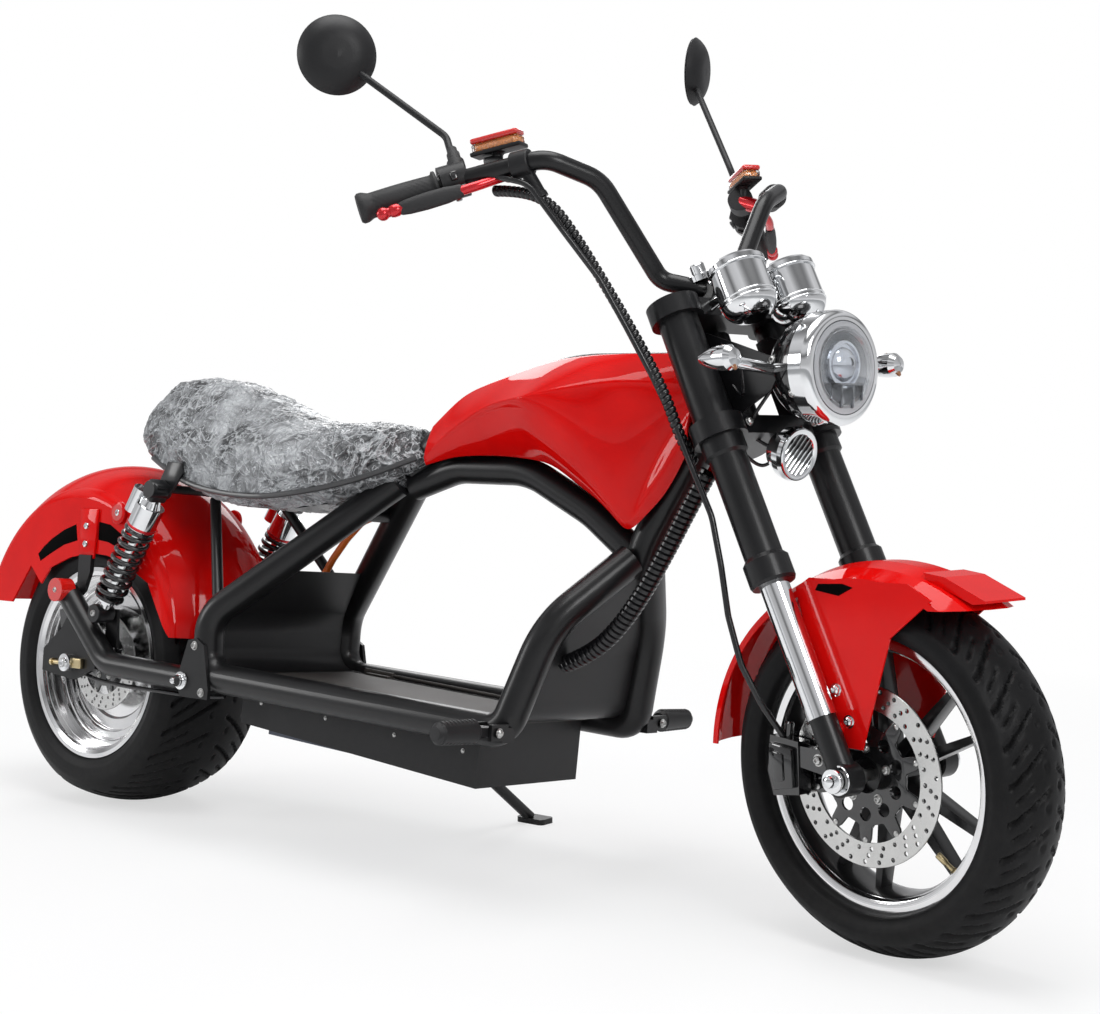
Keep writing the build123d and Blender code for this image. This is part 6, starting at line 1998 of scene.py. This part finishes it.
def build_bolts(bench: Bench) -> None:
    """Sets all the bolt rows.

    Args:
        bench: workbench that shapes and finishes pieces.
    """
    both = (-1, 1)
    Bolts("rear_guard_bolts", "frame", CHROME, "chrome_trim", 6.2, 4.6,
          [((-1, s * 128.6, z), (0, s, 0)) for s in both for z in (478, 447)] +
          [((83, s * 128.2, 503), (0, s, 0)) for s in both]).build(bench)
    Bolts("front_guard_bolts", "steering", CHROME, "chrome_trim", 6.6, 4.8,
          [((x, s * 70.6, z), (0, s, 0)) for s in both for x, z in ((1463, 331), (1483, 294))]).build(bench)
    Bolts("clamp_bolts", "steering", STEEL, "zinc_steel", 5.0, 4.0,
          [(tuple(at_leg(468, 29.5, s * 62)), tuple(AHEAD)) for s in both] +
          [(tuple(at_leg(643, -20, s * 116)), tuple(-AHEAD + Vector((0, s, 0)))) for s in both]).build(bench)
    Bolts("lamp_bowl_screws", "steering", STEEL, "zinc_steel", 4.6, 3.4,
          [((1386, s * 62.5, 694), (0, s * 0.88, -0.46)) for s in both] +
          [((1352, s * 62.0, 738), (0.25, s, 0.1)) for s in both]).build(bench)
    Bolts("disc_bolts", "front_wheel", STEEL, "zinc_steel", 4.8, 3.6,
          [((1495 + 33 * cos(radians(a)), -54.4, 228.6 + 33 * sin(radians(a))), (0, -1, 0))
           for a in range(18, 378, 72)]).build(bench)
    Bolts("rear_disc_bolts", "rear_wheel", STEEL, "zinc_steel", 4.4, 3.2,
          [((27 * cos(radians(a)), -74.2, 242.6 + 27 * sin(radians(a))), (0, -1, 0))
           for a in range(0, 360, 60)]).build(bench)
    Bolts("caliper_bolts", "steering", STEEL, "zinc_steel", 6.0, 5.0,
          [((1443, -80.4, 243), (0, -1, 0)), ((1470, -80.4, 240), (0, -1, 0))]).build(bench)
    Bolts("frame_bolts", "frame", STEEL, "zinc_steel", 5.6, 4.2,
          [((x, s * 177.4, z), (0, s, 0)) for s in both for x, z in ((362, 298), (384, 226))] +
          [((88, s * 169.4, 332), (0, s, 0)) for s in both] + [((216, s * 167.4, 542), (0, s, 0))
                                                               for s in both]).build(bench)
    Bolts("peg_bolts", "frame", STEEL, "zinc_steel", 5.2, 4.0,
          [((985 + d * 24.2, s * 188, 229), (d, 0, 0)) for s in both for d in (-1, 1)]).build(bench)
    Bolts("box_rivets", "frame", STEEL, "zinc_steel", 2.6, 1.6,
          [((x, s * 114.2, z), (0, s, 0)) for s in both for x,
           z in ((455, 215), (600, 206), (745, 196), (880, 188))],
          socket=0.3).build(bench)
    Bolts("reflector_bolts", "frame", STEEL, "zinc_steel", 3.6, 2.6,
          [((-12, s * 178.2, 366), (0, s, 0)) for s in both]).build(bench)


CAMERA_PLACE = (1.817352, -2.028539, 0.632279)
CAMERA_TURN = (0.6788198, 0.6539323, 0.231862, 0.2404501)
CAMERA_LENS = 56.637
SENSOR_WIDTH = 36.0
FLOOR_SIZE = 60.0
FLOOR_FADE = (1.0, 2.6, 0.62)
LAMPS = (
    ("soft_overhead", (0.3, -0.4, 3.4), (0.0, -0.1, 0.4), 2.2, 62.0),
    ("soft_front_right", (3.2, -1.4, 2.2), (0.2, -0.1, 0.5), 1.2, 40.0),
    ("soft_left_rear", (-2.2, 2.6, 2.2), (0.0, -0.1, 0.5), 1.6, 34.0),
    ("soft_right_rear", (-3.0, -2.4, 1.7), (-0.2, -0.1, 0.5), 1.2, 30.0))
WORLD_LIGHT = 0.44
WORLD_MIRROR = ((0.0, 0.85), (0.10, 0.80), (0.24, 0.52), (0.34, 0.16), (0.46, 0.62), (0.62, 0.72),
                (0.74, 0.20), (1.0, 0.55))


def stage_and_camera() -> None:
    """Sets the photograph's camera, the pale floor, the white surround and the soft lights."""
    scene = bpy.context.scene
    scene.view_settings.view_transform = "Standard"
    lens = bpy.data.cameras.new("photo_camera")
    lens.lens = CAMERA_LENS
    lens.sensor_width = SENSOR_WIDTH
    lens.clip_start = 0.05
    camera = bpy.data.objects.new("photo_camera", lens)
    camera.location = CAMERA_PLACE
    camera.rotation_mode = "QUATERNION"
    camera.rotation_quaternion = CAMERA_TURN
    scene.collection.objects.link(camera)
    scene.camera = camera
    world = bpy.data.worlds.new("white_surround")
    world.use_nodes = True
    scene.world = world
    tree = world.node_tree
    tree.nodes.clear()
    result = tree.nodes.new("ShaderNodeOutputWorld")
    light, mirrored, seen = (tree.nodes.new("ShaderNodeBackground") for _ in range(3))
    light.inputs["Color"].default_value = (0.95, 0.97, 1.0, 1.0)
    light.inputs["Strength"].default_value = WORLD_LIGHT
    seen.inputs["Color"].default_value = (1.0, 1.0, 1.0, 1.0)
    seen.inputs["Strength"].default_value = 1.0
    where = tree.nodes.new("ShaderNodeTexCoord")
    split = tree.nodes.new("ShaderNodeSeparateXYZ")
    tree.links.new(where.outputs["Generated"], split.inputs[0])
    ramp = tree.nodes.new("ShaderNodeValToRGB")
    for position, level in WORLD_MIRROR:
        if position in (0.0, 1.0):
            stop = ramp.color_ramp.elements[int(position)]
        else:
            stop = ramp.color_ramp.elements.new(position)
        stop.color = (level, level, level * 1.02, 1.0)
    tree.links.new(split.outputs[2], ramp.inputs[0])
    tree.links.new(ramp.outputs[0], mirrored.inputs["Color"])
    ray = tree.nodes.new("ShaderNodeLightPath")
    straight = tree.nodes.new("ShaderNodeMath")
    straight.operation = "MAXIMUM"
    tree.links.new(ray.outputs["Is Camera Ray"], straight.inputs[0])
    tree.links.new(ray.outputs["Is Transmission Ray"], straight.inputs[1])
    shine = tree.nodes.new("ShaderNodeMixShader")
    tree.links.new(ray.outputs["Is Glossy Ray"], shine.inputs[0])
    tree.links.new(light.outputs[0], shine.inputs[1])
    tree.links.new(mirrored.outputs[0], shine.inputs[2])
    mix = tree.nodes.new("ShaderNodeMixShader")
    tree.links.new(straight.outputs[0], mix.inputs[0])
    tree.links.new(shine.outputs[0], mix.inputs[1])
    tree.links.new(seen.outputs[0], mix.inputs[2])
    tree.links.new(mix.outputs[0], result.inputs[0])
    Bench.clear()
    bpy.ops.mesh.primitive_plane_add(size=FLOOR_SIZE, location=(0.0, 0.0, 0.0))
    floor = bpy.context.object
    floor.name = "studio_floor"
    paper = bpy.data.materials.new("pale_floor")
    paper.use_nodes = True
    nodes = paper.node_tree.nodes
    links = paper.node_tree.links
    shader = nodes["Principled BSDF"]
    shader.inputs["Base Color"].default_value = (0.93, 0.93, 0.93, 1.0)
    shader.inputs["Roughness"].default_value = 0.9
    shader.inputs["Specular IOR Level"].default_value = 0.1
    white = nodes.new("ShaderNodeEmission")
    white.inputs["Strength"].default_value = 1.0
    place = nodes.new("ShaderNodeTexCoord")
    reach = nodes.new("ShaderNodeVectorMath")
    reach.operation = "LENGTH"
    links.new(place.outputs["Object"], reach.inputs[0])
    fade = nodes.new("ShaderNodeMapRange")
    for socket, value in zip(("From Min", "From Max", "To Min"), FLOOR_FADE):
        fade.inputs[socket].default_value = value
    links.new(reach.outputs["Value"], fade.inputs["Value"])
    path = nodes.new("ShaderNodeLightPath")
    both = nodes.new("ShaderNodeMath")
    both.operation = "MULTIPLY"
    links.new(fade.outputs[0], both.inputs[0])
    links.new(path.outputs["Is Camera Ray"], both.inputs[1])
    blend = nodes.new("ShaderNodeMixShader")
    links.new(both.outputs[0], blend.inputs[0])
    links.new(shader.outputs[0], blend.inputs[1])
    links.new(white.outputs[0], blend.inputs[2])
    links.new(blend.outputs[0], nodes["Material Output"].inputs[0])
    floor.data.materials.append(paper)
    for name, spot, target, size, power in LAMPS:
        lamp = bpy.data.lights.new(name, "AREA")
        lamp.size = size
        lamp.energy = power
        holder = bpy.data.objects.new(name, lamp)
        holder.location = spot
        holder.rotation_euler = (Vector(target) - Vector(spot)).to_track_quat("-Z", "Y").to_euler()
        scene.collection.objects.link(holder)


CARRIED = {
    "rear_rim": RIM_POLISH_REAR, "front_axle": STEEL, "triple_clamps": FRAME_BLACK,
    "fork_uppers": FRAME_BLACK,
    "fork_stanchions": CHROME, "fork_lowers": FRAME_BLACK, "headlight_bracket": FRAME_BLACK,
    "headlight_bowl": GLOSS_BLACK, "headlight_ring": CHROME, "horn": CHROME, "gauge_pods": CHROME,
    "turn_signals": CHROME, "handlebar": FRAME_BLACK, "switch_housings": PLASTIC_BLACK,
    "brake_levers": RED_ANODISED,
    "marker_lamps": LAMP_RED, "mirrors": PLASTIC_BLACK, "front_mudguard": RED_PAINT,
    "front_caliper": GLOSS_BLACK,
    "front_brake_hose": CABLE_BLACK, "frame_spine": FRAME_BLACK, "frame_arch": FRAME_BLACK,
    "frame_loop_right": FRAME_BLACK, "frame_loop_left": FRAME_BLACK, "swingarm": FRAME_BLACK,
    "rear_axle": STEEL,
    "shock_bodies": CHROME, "rear_mudguard": RED_PAINT, "mudguard_stays": SHEET_BLACK, "rear_lamps": LAMP_RED,
    "rear_caliper": GLOSS_BLACK, "seat_pan": FRAME_BLACK, "side_cover_left": RED_PAINT,
    "side_cover_right": RED_PAINT,
    "front_shield": SHEET_BLACK, "kick_panel": SHEET_BLACK, "deck_floor": DECK_MAT, "deck_lid": DECK_MAT,
    "battery_box": SHEET_BLACK, "battery_pack": BATTERY_CASE, "side_stand": FRAME_BLACK,
    "frame_brackets": FRAME_BLACK,
    "peg_right": PLASTIC_BLACK, "peg_left": PLASTIC_BLACK, "orange_cable": CABLE_ORANGE,
}


def dress_carried(paint: Paintshop) -> None:
    """Gives each carried-over node of the part its finish."""
    for node, finish in CARRIED.items():
        paint.dress(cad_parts[node], finish)


def build_wheels(bench: Bench) -> None:
    """Makes both tyres, the front rim and the brake discs.

    Args:
        bench: workbench that shapes and finishes pieces.
    """
    Tyre("front_tyre", "front_wheel", FRONT_AXLE, (36, 158), (41, 168.5), (62, 192), (52, 206.6), 228.6,
         420, 30, 4.6, 0.95, 4.5).build(bench)
    Tyre("rear_tyre", "rear_wheel", REAR_AXLE, (95.5, 155), (99, 165.5), (107, 193), (93, 222.4), 242.6,
         440, 26, 6.0, 1.25, 5.5).build(bench)
    FrontRim().build(bench)
    BrakeDisc("front_disc", "front_wheel", FRONT_AXLE, -54.0, 4.0, 112.0, 82.0, 22.0, 10,
              DISC_STEEL_FRONT, spacer=12.0).build(bench)
    BrakeDisc("rear_disc", "rear_wheel", REAR_AXLE, -74.0, 4.0, 83.0, 56.0, 18.0, 8,
              DISC_STEEL_REAR).build(bench)


def build_looms(bench: Bench) -> None:
    """Makes the two wrapped cable bundles."""
    Wrapped("bar_loom_wrap", "bar_loom", "steering", [
        (1018, -244, 972), (1066, -240, 968), (1110, -222, 950), (1138, -200, 900), (1160, -176, 846),
        (1184, -154, 790), (1208, -138, 738), (1232, -130, 690), (1248, -122, 640), (1252, -98, 602)],
        7.6, 8.0, 2.0).build(bench)
    Wrapped("frame_harness_conduit", "frame_harness", "frame", [
        (1224, -44, 594), (1194, -46, 540), (1166, -48, 486), (1132, -52, 424), (1096, -57, 372),
        (1054, -60, 336),
        (1008, -61, 318)], 12.6, 8.0, 2.6).build(bench)


def main() -> None:
    """Builds the whole dressed bike in order."""
    logging.basicConfig(level=logging.INFO, format="%(message)s")
    paint = Paintshop()
    bench = Bench(paint)
    stage_and_camera()
    dress_carried(paint)
    build_looms(bench)
    build_wheels(bench)
    Headlight().build(bench)
    Saddle().build(bench)
    Shocks().build(bench)
    Grips().build(bench)
    SideCovers().build(bench)
    GuardTrim().build(bench)
    BarFittings().build(bench)
    FrontHardware().build(bench)
    RearHardware().build(bench)
    build_bolts(bench)


if __name__ == "__main__":
    main()
